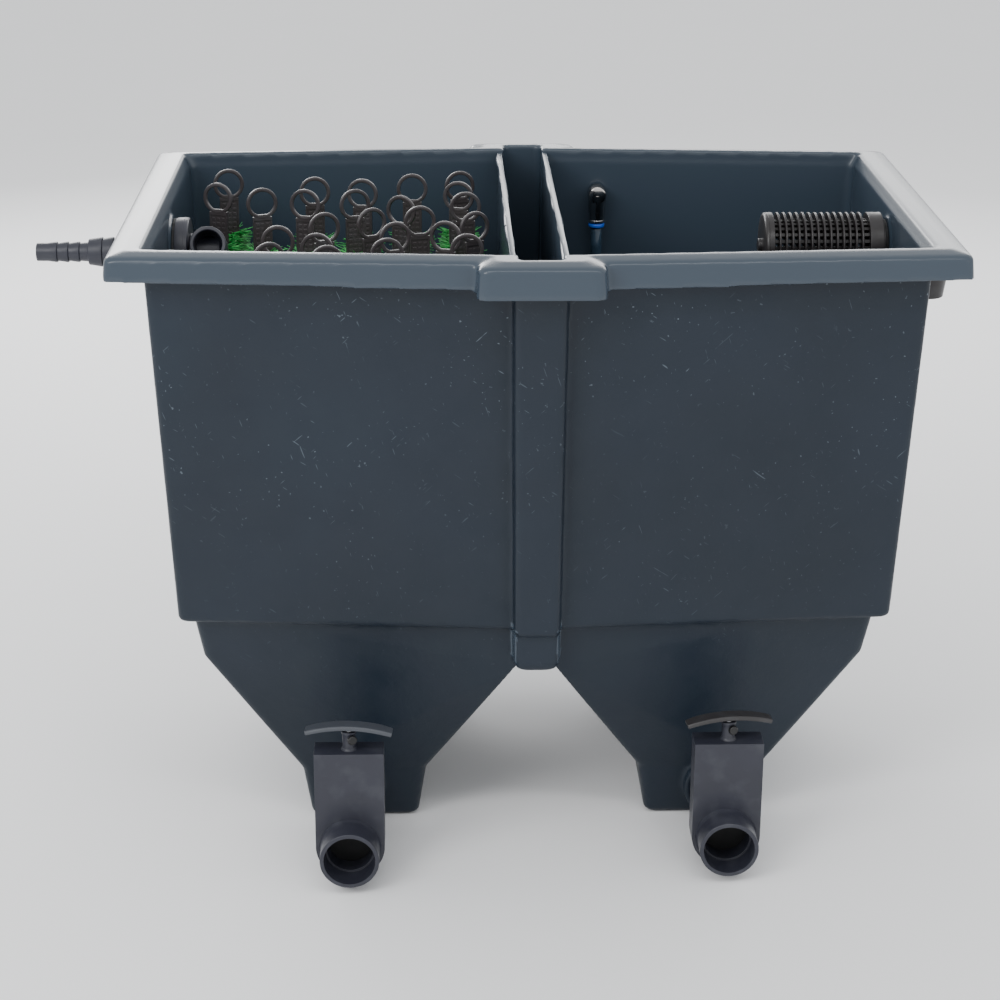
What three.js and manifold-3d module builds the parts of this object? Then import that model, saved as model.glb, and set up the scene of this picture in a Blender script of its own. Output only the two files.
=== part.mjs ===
// A two-bay gravity pond filter laminated in glass-fibre, +Z up, millimetres.
// Left bay: 24 lift-out filter brushes. Right bay: moving bed, air feed and finned outlet strainer.
// Between them two divider walls form a narrow transfer duct. Under each bay a hopper drains to a slide valve.
// While the pieces are made, z = 0 is the rim's top face and x = y = 0 the middle of the tank.
// The finished group stands on z = 0, centred on its bounding box.
import * as THREE from "three";
import { ConvexGeometry } from "three/addons/geometries/ConvexGeometry.js";
import { mergeVertices } from "three/addons/utils/BufferGeometryUtils.js";
import Module from "manifold-3d";

const wasm = await Module();
wasm.setup();

// ---------------------------------------------------------------- driving dimensions
const FIT = 0.3; // gap left between pieces that touch
const WALL = 6; // laminate thickness

// Plans are shallow hexagons: half length, half depth at the ends, half depth in the middle, corner radius.
const RIM = { length: 500, end: 292, mid: 318, corner: 8 };
const RIM_SKIRT = { ends: 28, mid: 33 }; // the down-turned skirt is a little deeper in the middle
const RIM_PLATE = 6; // thickness of the flat flange
const RIM_FLARE = 2; // how far the skirt leans out
const RIM_ROUND = 4; // rounding of the flange's outer edge
const RIM_CROWN = { rise: 3.5, inset: 20 }; // the flange falls outwards from its flat inner part
const BULGE = { half: 73, reach: 345, corner: 12, skirt: 37 };
const MOUTH = { length: 462, end: 261, mid: 290, corner: 6 };
const MOUTH_DEPTH = 12; // depth of the flared mouth
const BODY_TOP = { length: 460, end: 267, mid: 295, corner: 8 };
const BODY_FOOT = { length: 438, end: 251, mid: 279, corner: 8 };
const MID_FLAT = 40; // half length of the straight stretch in the middle of each long side
const LEDGE_Z = -470; // step where the straight body ends
const LEDGE_ROUND = 6;
const HOPPER_CORNER = 10;
const SUMP_CORNER = 10;
const SUMP_ROUND = 6;
const HOPPER_TOP = { length: 423, end: 238, mid: 266 };
const HOPPER_KNEE = { length: 411, end: 226, mid: 260, z: -527, innerX: 24 };
const SUMP = { x: 214.6, half: 79, halfFoot: 69, depth: 204, depthFoot: 194, topZ: -694, footZ: -766 };
const DUCT = { half: 32, halfFoot: 28, reach: 320, reachFoot: 302, lowReach: 294, footZ: -522 };
const DIVIDER_X = { left: -32, right: 30 }; // centre plane of each divider wall
const PORT_RADIUS = 26;
const LEFT_PORT_Z = -115; // water leaves the brush bay under the surface
const RIGHT_PORT_Z = -425; // and enters the second bay near its floor

const VALVE_Z = -720; // centre of the waste bores
const VALVES = [
  { name: "left", x: -228, mouthY: -397, handleTurn: 0 },
  { name: "right", x: 233, mouthY: -378, handleTurn: 10 },
];
const VALVE = { width: 84, thick: 35, above: 125, bore: 27.5 };
const SOCKET = { radius: 36, bore: 30.6, reach: 36 };
const REAR_SOCKET = 30; // length of the socket towards the tank
const SOCKET_STOP = 30; // depth of each socket down to its stop
const GATE = { width: 66, thick: 3.4, foot: -33, top: 36, travel: 62 };
const CAP_HEIGHT = 11;
const GLAND = { height: 24, top: 8.6, foot: 7.6 };
const STEM_RADIUS = 4;
const HANDLE = { length: 103, deep: 20, thick: 7.5, arch: 7.5, hubRadius: 6.6 };
const HANDLE_GAP = 27; // from the cap's top face to the underside of the handle
const LOCK_SCREW = { headRadius: 4.7, head: 5, shankRadius: 2.2, rise: 16, turn: 22 };
const WASTE_PIPE = { outer: 30, inner: 27 };

const INLET = { y: -10, z: -64 };
const OUTLET = { y: -10, z: -58 };
const PAD_RADIUS = { inlet: 46, outlet: 36 }; // flat land for each tank connector
const PAD_INSIDE = 449; // its inner and outer faces, as distances from the middle plane
const PAD_OUTSIDE = 464;
const SHANK_RADIUS = 28;
const INLET_ELBOW = { x: -403, radius: 22.7, reach: 50, lift: 25 };
const STRAINER = { x: 293, radius: 42, core: 35, bore: 31, endX: 443 };
const FINS = { count: 14, first: 310, pitch: 8, thick: 3.4 };
const OUTLET_ELBOW = { x: 508, radius: 25.5, bend: 23, footZ: -124 };

const AIR = { x: 102, y: 262, z: -54, elbowRadius: 12.5, legRadius: 11, collarZ: -92, tubeRadius: 7.7 };
const DIFFUSER = { radius: 58, height: 18, y: 90 };

const RING = { radius: 20, bore: 15, thick: 5, z: -22 };
const TAG = { width: 25, thick: 4, foot: -96 };
const BRISTLES = { radius: 28, topZ: -90, footZ: -455 };
// One row for each column of brushes, from the inlet wall to the duct: x, y and the ring's turn in degrees.
const BRUSH_PLACES = [
  [[-396, 186, 10], [-403, 104, -20]],
  [[-344, 74, 15], [-311, -129, 0], [-317, -211, 25]],
  [[-279, 138, 5], [-288, 66, -15], [-258, -62, 20], [-262, -167, -10], [-248, -226, 12]],
  [[-216, 126, -8], [-224, 66, 18], [-200, -38, 30], [-178, -192, 8]],
  [[-151, 156, 0], [-164, 30, -25], [-140, -28, 10], [-170, -112, 22]],
  [[-88, 172, 14], [-90, 110, -12], [-82, 49, 6], [-72, -58, 28], [-108, -108, -18], [-83, -172, 4]],
];
const GRID = { thick: 5, slots: 7, bar: 12 };
const ROUND = 20; // sides of a large round piece
const SMALL_ROUND = 12; // sides of a small one

// ---------------------------------------------------------------- solids
function solid(geometry) {
  geometry.deleteAttribute("normal");
  geometry.deleteAttribute("uv");
  const merged = mergeVertices(geometry, 1e-4);
  const mesh = new wasm.Mesh({
    numProp: 3,
    vertProperties: new Float32Array(merged.attributes.position.array),
    triVerts: new Uint32Array(merged.index.array),
  });
  return new wasm.Manifold(mesh);
}

function geometryOf(manifold) {
  const mesh = manifold.getMesh();
  const geometry = new THREE.BufferGeometry();
  geometry.setAttribute("position", new THREE.BufferAttribute(mesh.vertProperties, 3));
  geometry.setIndex(new THREE.BufferAttribute(mesh.triVerts, 1));
  geometry.computeVertexNormals();
  return geometry;
}

function join(first, ...rest) {
  return rest.reduce((whole, piece) => whole.add(piece), first);
}

function cut(first, ...rest) {
  return rest.reduce((whole, piece) => whole.subtract(piece), first);
}

function hull(...rings) {
  return solid(new ConvexGeometry(rings.flat()));
}

// A box given by its lowest and highest corners.
function block(low, high) {
  const size = high.map((value, axis) => value - low[axis]);
  const geometry = new THREE.BoxGeometry(...size);
  geometry.translate(...low.map((value, axis) => value + size[axis] / 2));
  return solid(geometry);
}

// A cylinder or cone whose axis runs along "x", "y" or "z" from one coordinate to another.
function rod(axis, centre, from, to, radius, endRadius = radius, sides = ROUND) {
  const geometry = new THREE.CylinderGeometry(endRadius, radius, to - from, sides);
  if (axis === "x") geometry.rotateZ(-Math.PI / 2);
  if (axis === "z") geometry.rotateX(Math.PI / 2);
  const middle = [...centre];
  middle["xyz".indexOf(axis)] = (from + to) / 2;
  geometry.translate(...middle);
  return solid(geometry);
}

// A solid of revolution round an X axis, from [x, radius] points that start and end on the axis.
function turned(points, y, z, sides = ROUND) {
  const profile = points.map(([x, radius]) => new THREE.Vector2(radius, x));
  const geometry = new THREE.LatheGeometry(profile, sides);
  geometry.rotateZ(-Math.PI / 2);
  geometry.translate(0, y, z);
  return solid(geometry);
}

function bend(points, radius, sides = SMALL_ROUND) {
  const curve = new THREE.CatmullRomCurve3(points, false, "centripetal");
  const section = new THREE.Shape();
  section.absarc(0, 0, radius, 0, Math.PI * 2);
  return solid(
    new THREE.ExtrudeGeometry(section, {
      steps: points.length + 2,
      curveSegments: sides / 2,
      extrudePath: curve,
      bevelEnabled: false,
    }),
  );
}

// ---------------------------------------------------------------- plans
function corner(x, y, radius, z, steps = 3) {
  const points = [];
  for (let i = 0; i <= steps; i++) {
    const angle = (Math.PI / 2) * (i / steps);
    points.push([Math.abs(x) - radius * (1 - Math.cos(angle)), Math.abs(y) - radius * (1 - Math.sin(angle))]);
  }
  return points.map(([px, py]) => new THREE.Vector3(Math.sign(x) * px, Math.sign(y) * py, z));
}

function rectangle(x, half, depth, radius, z) {
  const corners = [
    [half, depth],
    [-half, depth],
    [-half, -depth],
    [half, -depth],
  ];
  return corners.flatMap(([px, py]) =>
    corner(px, py, radius, z).map((point) => point.add(new THREE.Vector3(x, 0, 0))),
  );
}

// midZ is for a plan that isn't level: the height of its middle points.
function hexagon(plan, inset, z, midZ = z) {
  const length = plan.length - inset;
  const end = plan.end - inset;
  const mid = plan.mid - inset;
  const points = [];
  for (const sx of [-1, 1]) {
    for (const sy of [-1, 1]) {
      points.push(...corner(sx * length, sy * end, plan.corner, z, 2));
      points.push(new THREE.Vector3(sx * MID_FLAT, sy * mid, midZ));
    }
  }
  return points;
}

// ---------------------------------------------------------------- tank
function rimSolid() {
  const flange = hull(
    hexagon(RIM, RIM_CROWN.inset, RIM_CROWN.rise),
    hexagon(RIM, RIM_ROUND, 0),
    hexagon(RIM, 0, -RIM_ROUND),
    hexagon(RIM, -RIM_FLARE, -RIM_SKIRT.ends, -RIM_SKIRT.mid),
  );
  const bulge = hull(
    rectangle(0, BULGE.half - RIM_CROWN.inset, BULGE.reach - RIM_CROWN.inset, BULGE.corner, RIM_CROWN.rise),
    rectangle(0, BULGE.half - RIM_ROUND, BULGE.reach - RIM_ROUND, BULGE.corner, 0),
    rectangle(0, BULGE.half, BULGE.reach, BULGE.corner, -RIM_ROUND),
    rectangle(0, BULGE.half + RIM_FLARE, BULGE.reach + RIM_FLARE, BULGE.corner, -BULGE.skirt),
  );
  const underFlange = hull(hexagon(RIM, WALL, -RIM_PLATE), hexagon(RIM, WALL - RIM_FLARE, -BULGE.skirt - 1));
  const underBulge = hull(
    rectangle(0, BULGE.half - WALL, BULGE.reach - WALL, BULGE.corner - WALL, -RIM_PLATE),
    rectangle(0, BULGE.half - WALL, BULGE.reach - WALL, BULGE.corner - WALL, -BULGE.skirt - 1),
  );
  return cut(join(flange, bulge), underFlange, underBulge);
}

function bodySolid(inset, topZ, footZ) {
  const roundZ = footZ + (inset ? LEDGE_ROUND / 2 : LEDGE_ROUND);
  return hull(
    hexagon(BODY_TOP, inset, topZ),
    hexagon(BODY_FOOT, inset, roundZ),
    hexagon(BODY_FOOT, inset + LEDGE_ROUND / 3, footZ + LEDGE_ROUND / 3),
    hexagon(BODY_FOOT, inset + LEDGE_ROUND, footZ),
  );
}

// The part of one bay below the ledge, down to the top of its sump.
function hopperSolid(side, inset) {
  const topZ = LEDGE_Z + 12;
  const slope = (SUMP.x - SUMP.half - HOPPER_KNEE.innerX) / (HOPPER_KNEE.z - SUMP.topZ);
  const innerTop = HOPPER_KNEE.innerX - slope * (topZ - HOPPER_KNEE.z) + inset;
  const points = [];
  for (const sy of [-1, 1]) {
    const innerX = HOPPER_KNEE.innerX + inset;
    points.push(new THREE.Vector3(side * innerTop, sy * (HOPPER_TOP.mid - inset), topZ));
    points.push(new THREE.Vector3(side * MID_FLAT, sy * (HOPPER_TOP.mid - inset), topZ));
    points.push(new THREE.Vector3(side * innerX, sy * (HOPPER_KNEE.mid - inset), HOPPER_KNEE.z));
    const topX = side * (HOPPER_TOP.length - inset);
    points.push(...corner(topX, sy * (HOPPER_TOP.end - inset), HOPPER_CORNER, topZ, 2));
    const kneeX = side * (HOPPER_KNEE.length - inset);
    points.push(...corner(kneeX, sy * (HOPPER_KNEE.end - inset), HOPPER_CORNER, HOPPER_KNEE.z, 2));
  }
  points.push(...rectangle(side * SUMP.x, SUMP.half - inset, SUMP.depth - inset, SUMP_CORNER, SUMP.topZ));
  return hull(points);
}

function sumpSolid(side, inset) {
  const x = side * SUMP.x;
  const foot = SUMP.footZ + inset;
  const half = SUMP.halfFoot - inset;
  const depth = SUMP.depthFoot - inset;
  return hull(
    rectangle(x, SUMP.half - inset, SUMP.depth - inset, SUMP_CORNER, SUMP.topZ + 1),
    rectangle(x, half, depth, SUMP_CORNER, foot + SUMP_ROUND),
    rectangle(x, half - SUMP_ROUND, depth - SUMP_ROUND, SUMP_CORNER, foot),
  );
}

function ductSolid(inset, topZ) {
  const lowTop = LEDGE_Z + 6;
  const upper = hull(
    rectangle(0, DUCT.half - inset, DUCT.reach - inset, 8, topZ),
    rectangle(0, DUCT.halfFoot - inset, DUCT.reachFoot - inset, 8, LEDGE_Z + inset + 4),
    rectangle(0, DUCT.halfFoot - inset - 3, DUCT.reachFoot - inset - 3, 8, LEDGE_Z + inset),
  );
  const lower = hull(
    rectangle(0, DUCT.halfFoot - inset, DUCT.lowReach - inset, 8, lowTop + inset),
    rectangle(0, DUCT.halfFoot - inset, DUCT.lowReach - inset - 2, 8, DUCT.footZ + inset + 12),
    rectangle(0, DUCT.halfFoot - inset - 4, DUCT.lowReach - inset - 5, 8, DUCT.footZ + inset + 4),
    rectangle(0, DUCT.halfFoot - inset - 12, DUCT.lowReach - inset - 12, 6, DUCT.footZ + inset),
  );
  return join(upper, lower);
}

function tankShell() {
  const pads = [
    rod("x", [0, INLET.y, INLET.z], -PAD_OUTSIDE, -PAD_INSIDE, PAD_RADIUS.inlet),
    rod("x", [0, OUTLET.y, OUTLET.z], PAD_INSIDE, PAD_OUTSIDE, PAD_RADIUS.outlet),
  ];
  const outside = join(
    rimSolid(),
    bodySolid(0, -1, LEDGE_Z),
    ductSolid(0, -1),
    ...[-1, 1].flatMap((side) => [hopperSolid(side, 0), sumpSolid(side, 0)]),
    ...VALVES.map((valve) => rod("y", [valve.x, 0, VALVE_Z], -SUMP.depth - 12, -SUMP.depth + 6, 40, 36)),
  );
  const inside = [
    hull(hexagon(MOUTH, 0, RIM_CROWN.rise + 1), hexagon(BODY_TOP, WALL, -MOUTH_DEPTH)),
    bodySolid(WALL, 0, LEDGE_Z + WALL),
    ductSolid(WALL, RIM_CROWN.rise + 1),
    ...[-1, 1].flatMap((side) => [hopperSolid(side, WALL), sumpSolid(side, WALL)]),
    ...VALVES.map((valve) => rod("y", [valve.x, 0, VALVE_Z], -220, -140, WASTE_PIPE.outer + FIT)),
  ];
  const wallHoles = [
    rod("x", [0, INLET.y, INLET.z], -500, -400, SHANK_RADIUS + FIT),
    rod("x", [0, OUTLET.y, OUTLET.z], 400, 500, SHANK_RADIUS + FIT),
    rod("y", [AIR.x, 0, AIR.z], 240, 310, 6.5 + FIT, 6.5 + FIT, SMALL_ROUND),
  ];
  return cut(join(cut(outside, ...inside), ...pads), ...wallHoles);
}

function divider(x, portZ) {
  const half = 3;
  const foot = DUCT.footZ + WALL + 1;
  const topMid = BODY_TOP.mid - WALL - 1;
  const footMid = BODY_FOOT.mid - WALL - 1.5;
  const lowMid = HOPPER_TOP.mid - WALL - 3;
  const row = (depth, z) =>
    [-1, 1].flatMap((sx) => [-1, 1].map((sy) => new THREE.Vector3(x + sx * half, sy * depth, z)));
  const upper = hull(row(topMid, -1), row(footMid, LEDGE_Z + WALL + LEDGE_ROUND));
  const lower = hull(row(lowMid - 2, LEDGE_Z + WALL + LEDGE_ROUND + 1), row(lowMid - 6, foot));
  const ports = [-1, 0, 1].map((i) =>
    rod("x", [0, i * 150, portZ], x - 10, x + 10, PORT_RADIUS, PORT_RADIUS, SMALL_ROUND),
  );
  return cut(join(upper, lower), ...ports);
}

// A slatted floor that rests on the ledge of one bay.
function floorGrid(side) {
  const top = LEDGE_Z + WALL + FIT + GRID.thick;
  const foot = LEDGE_Z + WALL + FIT;
  const length = BODY_FOOT.length - WALL - LEDGE_ROUND - 2;
  const end = BODY_FOOT.end - WALL - LEDGE_ROUND - 2;
  const mid = BODY_FOOT.mid - WALL - LEDGE_ROUND - 2;
  const inner = Math.abs(side < 0 ? DIVIDER_X.left : DIVIDER_X.right) + 5;
  const outline = (z) =>
    [-1, 1].flatMap((sy) => [
      new THREE.Vector3(side * inner, sy * mid, z),
      ...corner(side * length, sy * end, 18, z, 2),
    ]);
  const plate = hull(outline(foot), outline(top));
  const pitch = (length - inner - GRID.bar) / GRID.slots;
  const slots = Array.from({ length: GRID.slots }, (_, i) => {
    const x = inner + GRID.bar + i * pitch;
    const ends = [side * x, side * (x + pitch - GRID.bar)].sort((a, b) => a - b);
    return block([ends[0], GRID.bar - end, foot - 1], [ends[1], end - GRID.bar, top + 1]);
  });
  return cut(plate, ...slots);
}

// ---------------------------------------------------------------- slide valves
// Each valve is built round its bore: origin on the bore's axis, y = 0 in the gate's plane.
function valveBody() {
  const half = VALVE.thick / 2;
  const front = -half - SOCKET.reach;
  const shell = join(
    block([-VALVE.width / 2, -half, 0], [VALVE.width / 2, half, VALVE.above - CAP_HEIGHT]),
    rod("y", [0, 0, 0], -half, half, VALVE.width / 2),
    rod("y", [0, 0, 0], front, 0, SOCKET.radius),
    rod("y", [0, 0, 0], 0, half + REAR_SOCKET, SOCKET.radius),
  );
  const gateSlot = block(
    [-GATE.width / 2 - 1, -GATE.thick / 2 - 0.4, GATE.foot - 1],
    [GATE.width / 2 + 1, GATE.thick / 2 + 0.4, VALVE.above],
  );
  return cut(
    shell,
    rod("y", [0, 0, 0], -100, 100, VALVE.bore),
    rod("y", [0, 0, 0], front - 1, front + SOCKET_STOP, SOCKET.bore),
    rod("y", [0, 0, 0], half + REAR_SOCKET - SOCKET_STOP + 4, half + REAR_SOCKET + 1, SOCKET.bore),
    rod("y", [0, 0, 0], -GATE.thick / 2 - 3.4, 0, VALVE.bore + 4.3),
    gateSlot,
    rod("z", [0, 0, 0], GATE.top + 4, VALVE.above, STEM_RADIUS + 0.6, STEM_RADIUS + 0.6, SMALL_ROUND),
  );
}

function valveSeal() {
  const face = -GATE.thick / 2 - 0.7;
  return cut(
    rod("y", [0, 0, 0], face - 2.4, face, VALVE.bore + 4),
    rod("y", [0, 0, 0], face - 5, face + 2, VALVE.bore + 0.3),
  );
}

function valveCap() {
  const half = VALVE.thick / 2;
  const foot = VALVE.above - CAP_HEIGHT + FIT;
  const plate = block([-VALVE.width / 2, -half, foot], [VALVE.width / 2, half, VALVE.above]);
  const gland = rod("z", [0, 0, 0], VALVE.above - 1, VALVE.above + GLAND.height, GLAND.foot, GLAND.top, 16);
  const stemHole = STEM_RADIUS + FIT;
  const bore = rod("z", [0, 0, 0], foot - 5, VALVE.above + 60, stemHole, stemHole, SMALL_ROUND);
  const shankHole = LOCK_SCREW.shankRadius + FIT;
  const screwHole = rod("y", [0, 0, 0], -30, 0, shankHole, shankHole, 8)
    .rotate([0, 0, LOCK_SCREW.turn])
    .translate([0, 0, VALVE.above + LOCK_SCREW.rise]);
  return cut(join(plate, gland), bore, screwHole);
}

// A headed screw in the side of the gland, square to its wall, that clamps the stem.
function lockScrew() {
  const seat = -(GLAND.foot + GLAND.top) / 2 - 1.2;
  const { headRadius, shankRadius } = LOCK_SCREW;
  const head = rod("y", [0, 0, 0], seat - LOCK_SCREW.head, seat, headRadius, headRadius, 12);
  const shank = rod("y", [0, 0, 0], seat - 1, -STEM_RADIUS - 0.8, shankRadius, shankRadius, 8);
  const slot = block([-6, seat - LOCK_SCREW.head - 1, -0.6], [6, seat - LOCK_SCREW.head + 1.4, 0.6]);
  return cut(join(head, shank), slot)
    .rotate([0, 0, LOCK_SCREW.turn])
    .translate([0, 0, VALVE.above + LOCK_SCREW.rise]);
}

function gatePlate() {
  const half = GATE.thick / 2;
  const radius = GATE.width / 2;
  const plate = join(
    rod("y", [0, 0, 0], -half, half, radius, radius, ROUND),
    block([-radius, -half, 0], [radius, half, GATE.top]),
  );
  const floor = block([-100, -10, -100], [100, 10, GATE.foot]);
  const bush = block([-9, -half, GATE.top - 1], [9, half, GATE.top + 9]);
  return cut(join(plate, bush), floor);
}

function gateStem() {
  const foot = GATE.top + 9 + FIT;
  const top = VALVE.above + HANDLE_GAP - 0.5;
  return rod("z", [0, 0, 0], foot, top, STEM_RADIUS, STEM_RADIUS, SMALL_ROUND);
}

// The arched bar of the pull handle, with a hub that takes the stem's end.
function pullHandle(turn) {
  const underside = VALVE.above + HANDLE_GAP;
  const reach = HANDLE.length / 2;
  const radius = (reach * reach + HANDLE.arch * HANDLE.arch) / (2 * HANDLE.arch);
  const sweep = Math.asin(reach / radius);
  const outline = new THREE.Shape();
  outline.absarc(0, 0, radius, Math.PI / 2 - sweep, Math.PI / 2 + sweep, false);
  outline.absarc(0, 0, radius + HANDLE.thick, Math.PI / 2 + sweep, Math.PI / 2 - sweep, true);
  const extrusion = { depth: HANDLE.deep, curveSegments: 5, bevelEnabled: false };
  const bar = new THREE.ExtrudeGeometry(outline, extrusion);
  bar.translate(0, 0, -HANDLE.deep / 2);
  bar.rotateX(Math.PI / 2);
  bar.translate(0, 0, underside - radius);
  const hubFoot = VALVE.above + GLAND.height + 1;
  const hub = rod("z", [0, 0, 0], hubFoot, underside + 3, HANDLE.hubRadius, HANDLE.hubRadius, SMALL_ROUND);
  const bore = rod("z", [0, 0, 0], hubFoot - 5, underside, STEM_RADIUS + FIT, STEM_RADIUS + FIT, SMALL_ROUND);
  return cut(join(solid(bar), hub), bore).rotate([0, 0, turn]);
}

function wastePipe(valve) {
  const gateY = valve.mouthY + SOCKET.reach + VALVE.thick / 2;
  const from = gateY + VALVE.thick / 2 + REAR_SOCKET - SOCKET_STOP + 4 + FIT;
  return cut(
    rod("y", [valve.x, 0, VALVE_Z], from, -150, WASTE_PIPE.outer),
    rod("y", [valve.x, 0, VALVE_Z], from - 5, -145, WASTE_PIPE.inner),
  );
}

// ---------------------------------------------------------------- inlet and outlet fittings
// side is -1 on the inlet wall and 1 on the outlet wall; distances are measured out from the middle plane.
function alongWall(side, line, from, to, radius, sides = ROUND) {
  const ends = [side * from, side * to].sort((a, b) => a - b);
  return rod("x", [0, line.y, line.z], ends[0], ends[1], radius, radius, sides);
}

function tankConnector(side, line, hubRadius, hubInner) {
  const flange = alongWall(side, line, hubInner, PAD_INSIDE - 3, hubRadius);
  const shank = alongWall(side, line, PAD_INSIDE - 4, PAD_OUTSIDE + 15, SHANK_RADIUS - FIT);
  const bore = alongWall(side, line, hubInner - 5, PAD_OUTSIDE + 30, 21);
  return cut(join(flange, shank), bore);
}

function wallGasket(side, line, radius) {
  const ring = alongWall(side, line, PAD_INSIDE - 3 + FIT, PAD_INSIDE - FIT, radius);
  return cut(ring, alongWall(side, line, PAD_INSIDE - 8, PAD_INSIDE + 5, SHANK_RADIUS + FIT));
}

function wallNut(side, line) {
  const ring = alongWall(side, line, PAD_OUTSIDE + FIT, PAD_OUTSIDE + 12, 37, 8);
  return cut(ring, alongWall(side, line, PAD_OUTSIDE - 5, PAD_OUTSIDE + 20, SHANK_RADIUS + FIT));
}

function hoseTail() {
  const start = -PAD_OUTSIDE - 15 - FIT;
  const step = -556;
  const tip = -622;
  const barbs = (from, radius, count, pitch) =>
    Array.from({ length: count }, (_, i) => [
      [from - i * pitch, radius - 1.8],
      [from - i * pitch, radius],
      [from - (i + 1) * pitch + 1, radius - 1.8],
    ]).flat();
  const outside = turned(
    [
      [start, 0],
      [start, 25],
      [start - 11, 25],
      [start - 11, 17],
      ...barbs(-506, 18.7, 3, 15),
      [step, 16.5],
      [step, 12],
      ...barbs(-568, 13, 3, 15),
      [tip, 10.5],
      [tip, 0],
    ].reverse(),
    INLET.y,
    INLET.z,
    16,
  );
  return cut(
    outside,
    rod("x", [0, INLET.y, INLET.z], tip - 5, start + 5, 8.5, 8.5, SMALL_ROUND),
    rod("x", [0, INLET.y, INLET.z], step + 5, start + 5, 14, 14, SMALL_ROUND),
  );
}

function inletElbow() {
  const hubFace = PAD_INSIDE - 3 - 17 - FIT;
  const spigot = rod("x", [0, 0, 0], -hubFace, INLET_ELBOW.x + 14, INLET_ELBOW.radius);
  const heel = rod("x", [0, 0, 0], INLET_ELBOW.x, INLET_ELBOW.x + 17, INLET_ELBOW.radius, 17);
  const leg = rod("y", [INLET_ELBOW.x, 0, 0], -INLET_ELBOW.reach, 4, INLET_ELBOW.radius);
  const bore = join(
    rod("x", [0, 0, 0], -hubFace - 5, INLET_ELBOW.x + 6, 17.5),
    rod("y", [INLET_ELBOW.x, 0, 0], -INLET_ELBOW.reach - 5, 6, 17.5),
  );
  return cut(join(spigot, heel, leg), bore)
    .rotate([-INLET_ELBOW.lift, 0, 0])
    .translate([0, INLET.y, INLET.z]);
}

function strainer() {
  const { x, radius, core, bore, endX } = STRAINER;
  const profile = [
    [x, 0],
    [x, radius - 3],
    [x + 3, radius],
    [x + 12, radius],
    [x + 12, core],
  ];
  for (let i = 0; i < FINS.count; i++) {
    const left = FINS.first + i * FINS.pitch;
    const right = left + FINS.thick;
    profile.push([left, core], [left, radius], [right, radius], [right, core]);
  }
  profile.push([endX - 18, core], [endX - 18, radius], [endX, radius], [endX, 0]);
  const outside = turned(profile, OUTLET.y, OUTLET.z, 12);
  const boss = rod("x", [0, OUTLET.y, OUTLET.z], x - 5, x + 2, 9, 9, SMALL_ROUND);
  const inside = rod("x", [0, OUTLET.y, OUTLET.z], x + 8, endX - 14, bore, bore, 12);
  const socket = rod("x", [0, OUTLET.y, OUTLET.z], endX - 20, endX + 5, 24.4, 24.4, 12);
  const windows = [0, 90].map((angle) =>
    block([FINS.first - 2, -radius, -8], [endX - 24, radius, 8])
      .rotate([angle, 0, 0])
      .translate([0, OUTLET.y, OUTLET.z]),
  );
  const coreOnly = rod("x", [0, OUTLET.y, OUTLET.z], x + 12, endX - 18, core + 0.4, core + 0.4, 12);
  const slots = join(...windows).intersect(coreOnly);
  return cut(join(outside, boss), inside, socket, slots);
}

function outletConnector() {
  const hub = tankConnector(1, OUTLET, 33, STRAINER.endX + FIT);
  const spigot = alongWall(1, OUTLET, STRAINER.endX - 16, STRAINER.endX + 5, 23.8, 12);
  return cut(join(hub, spigot), alongWall(1, OUTLET, STRAINER.endX - 30, STRAINER.endX + 10, 21, 12));
}

function outletElbow() {
  const { x, radius, bend: turn, footZ } = OUTLET_ELBOW;
  const points = [new THREE.Vector3(PAD_OUTSIDE + 15 + FIT, OUTLET.y, OUTLET.z)];
  for (let i = 0; i <= 4; i++) {
    const angle = (Math.PI / 2) * (i / 4);
    const drop = turn * (1 - Math.cos(angle));
    points.push(new THREE.Vector3(x - turn + turn * Math.sin(angle), OUTLET.y, OUTLET.z - drop));
  }
  const foot = rod("z", [x, OUTLET.y, 0], footZ, OUTLET.z - turn + 2, radius - 6, radius, 16);
  const hose = rod("z", [x, OUTLET.y, 0], footZ - 5, OUTLET.z - turn, 17, 20, SMALL_ROUND);
  return cut(join(bend(points, radius, 16), foot), bend(points, 20, 10), hose);
}

// ---------------------------------------------------------------- air feed
function airBulkhead() {
  const nut = rod("y", [AIR.x, 0, AIR.z], 291.5, 299, 13, 13, 6);
  const shank = rod("y", [AIR.x, 0, AIR.z], 277, 304, 6.2, 6.2, SMALL_ROUND);
  return cut(join(nut, shank), rod("y", [AIR.x, 0, AIR.z], 270, 310, 3.5, 3.5, 8));
}

function airElbow() {
  const head = rod("y", [AIR.x, 0, AIR.z], AIR.y - 12, 276.6, AIR.elbowRadius, AIR.elbowRadius, 16);
  const leg = rod("z", [AIR.x, AIR.y, 0], AIR.collarZ, AIR.z, AIR.legRadius, AIR.elbowRadius, 16);
  const tubeHole = AIR.tubeRadius + FIT;
  const bore = rod("z", [AIR.x, AIR.y, 0], AIR.collarZ - 5, AIR.z, tubeHole, tubeHole, 12);
  const cross = rod("y", [AIR.x, 0, AIR.z], AIR.y, 280, 4, 4, 8);
  return cut(join(head, leg), bore, cross);
}

function releaseCollar() {
  const top = AIR.collarZ - 2;
  return cut(
    rod("z", [AIR.x, AIR.y, 0], top - 5.5, top, AIR.legRadius, AIR.legRadius, 16),
    rod("z", [AIR.x, AIR.y, 0], top - 10, top + 5, AIR.tubeRadius + FIT, AIR.tubeRadius + FIT, 12),
  );
}

function diffuserZ() {
  return LEDGE_Z + WALL + 2 * FIT + GRID.thick + DIFFUSER.height / 2;
}

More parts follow.
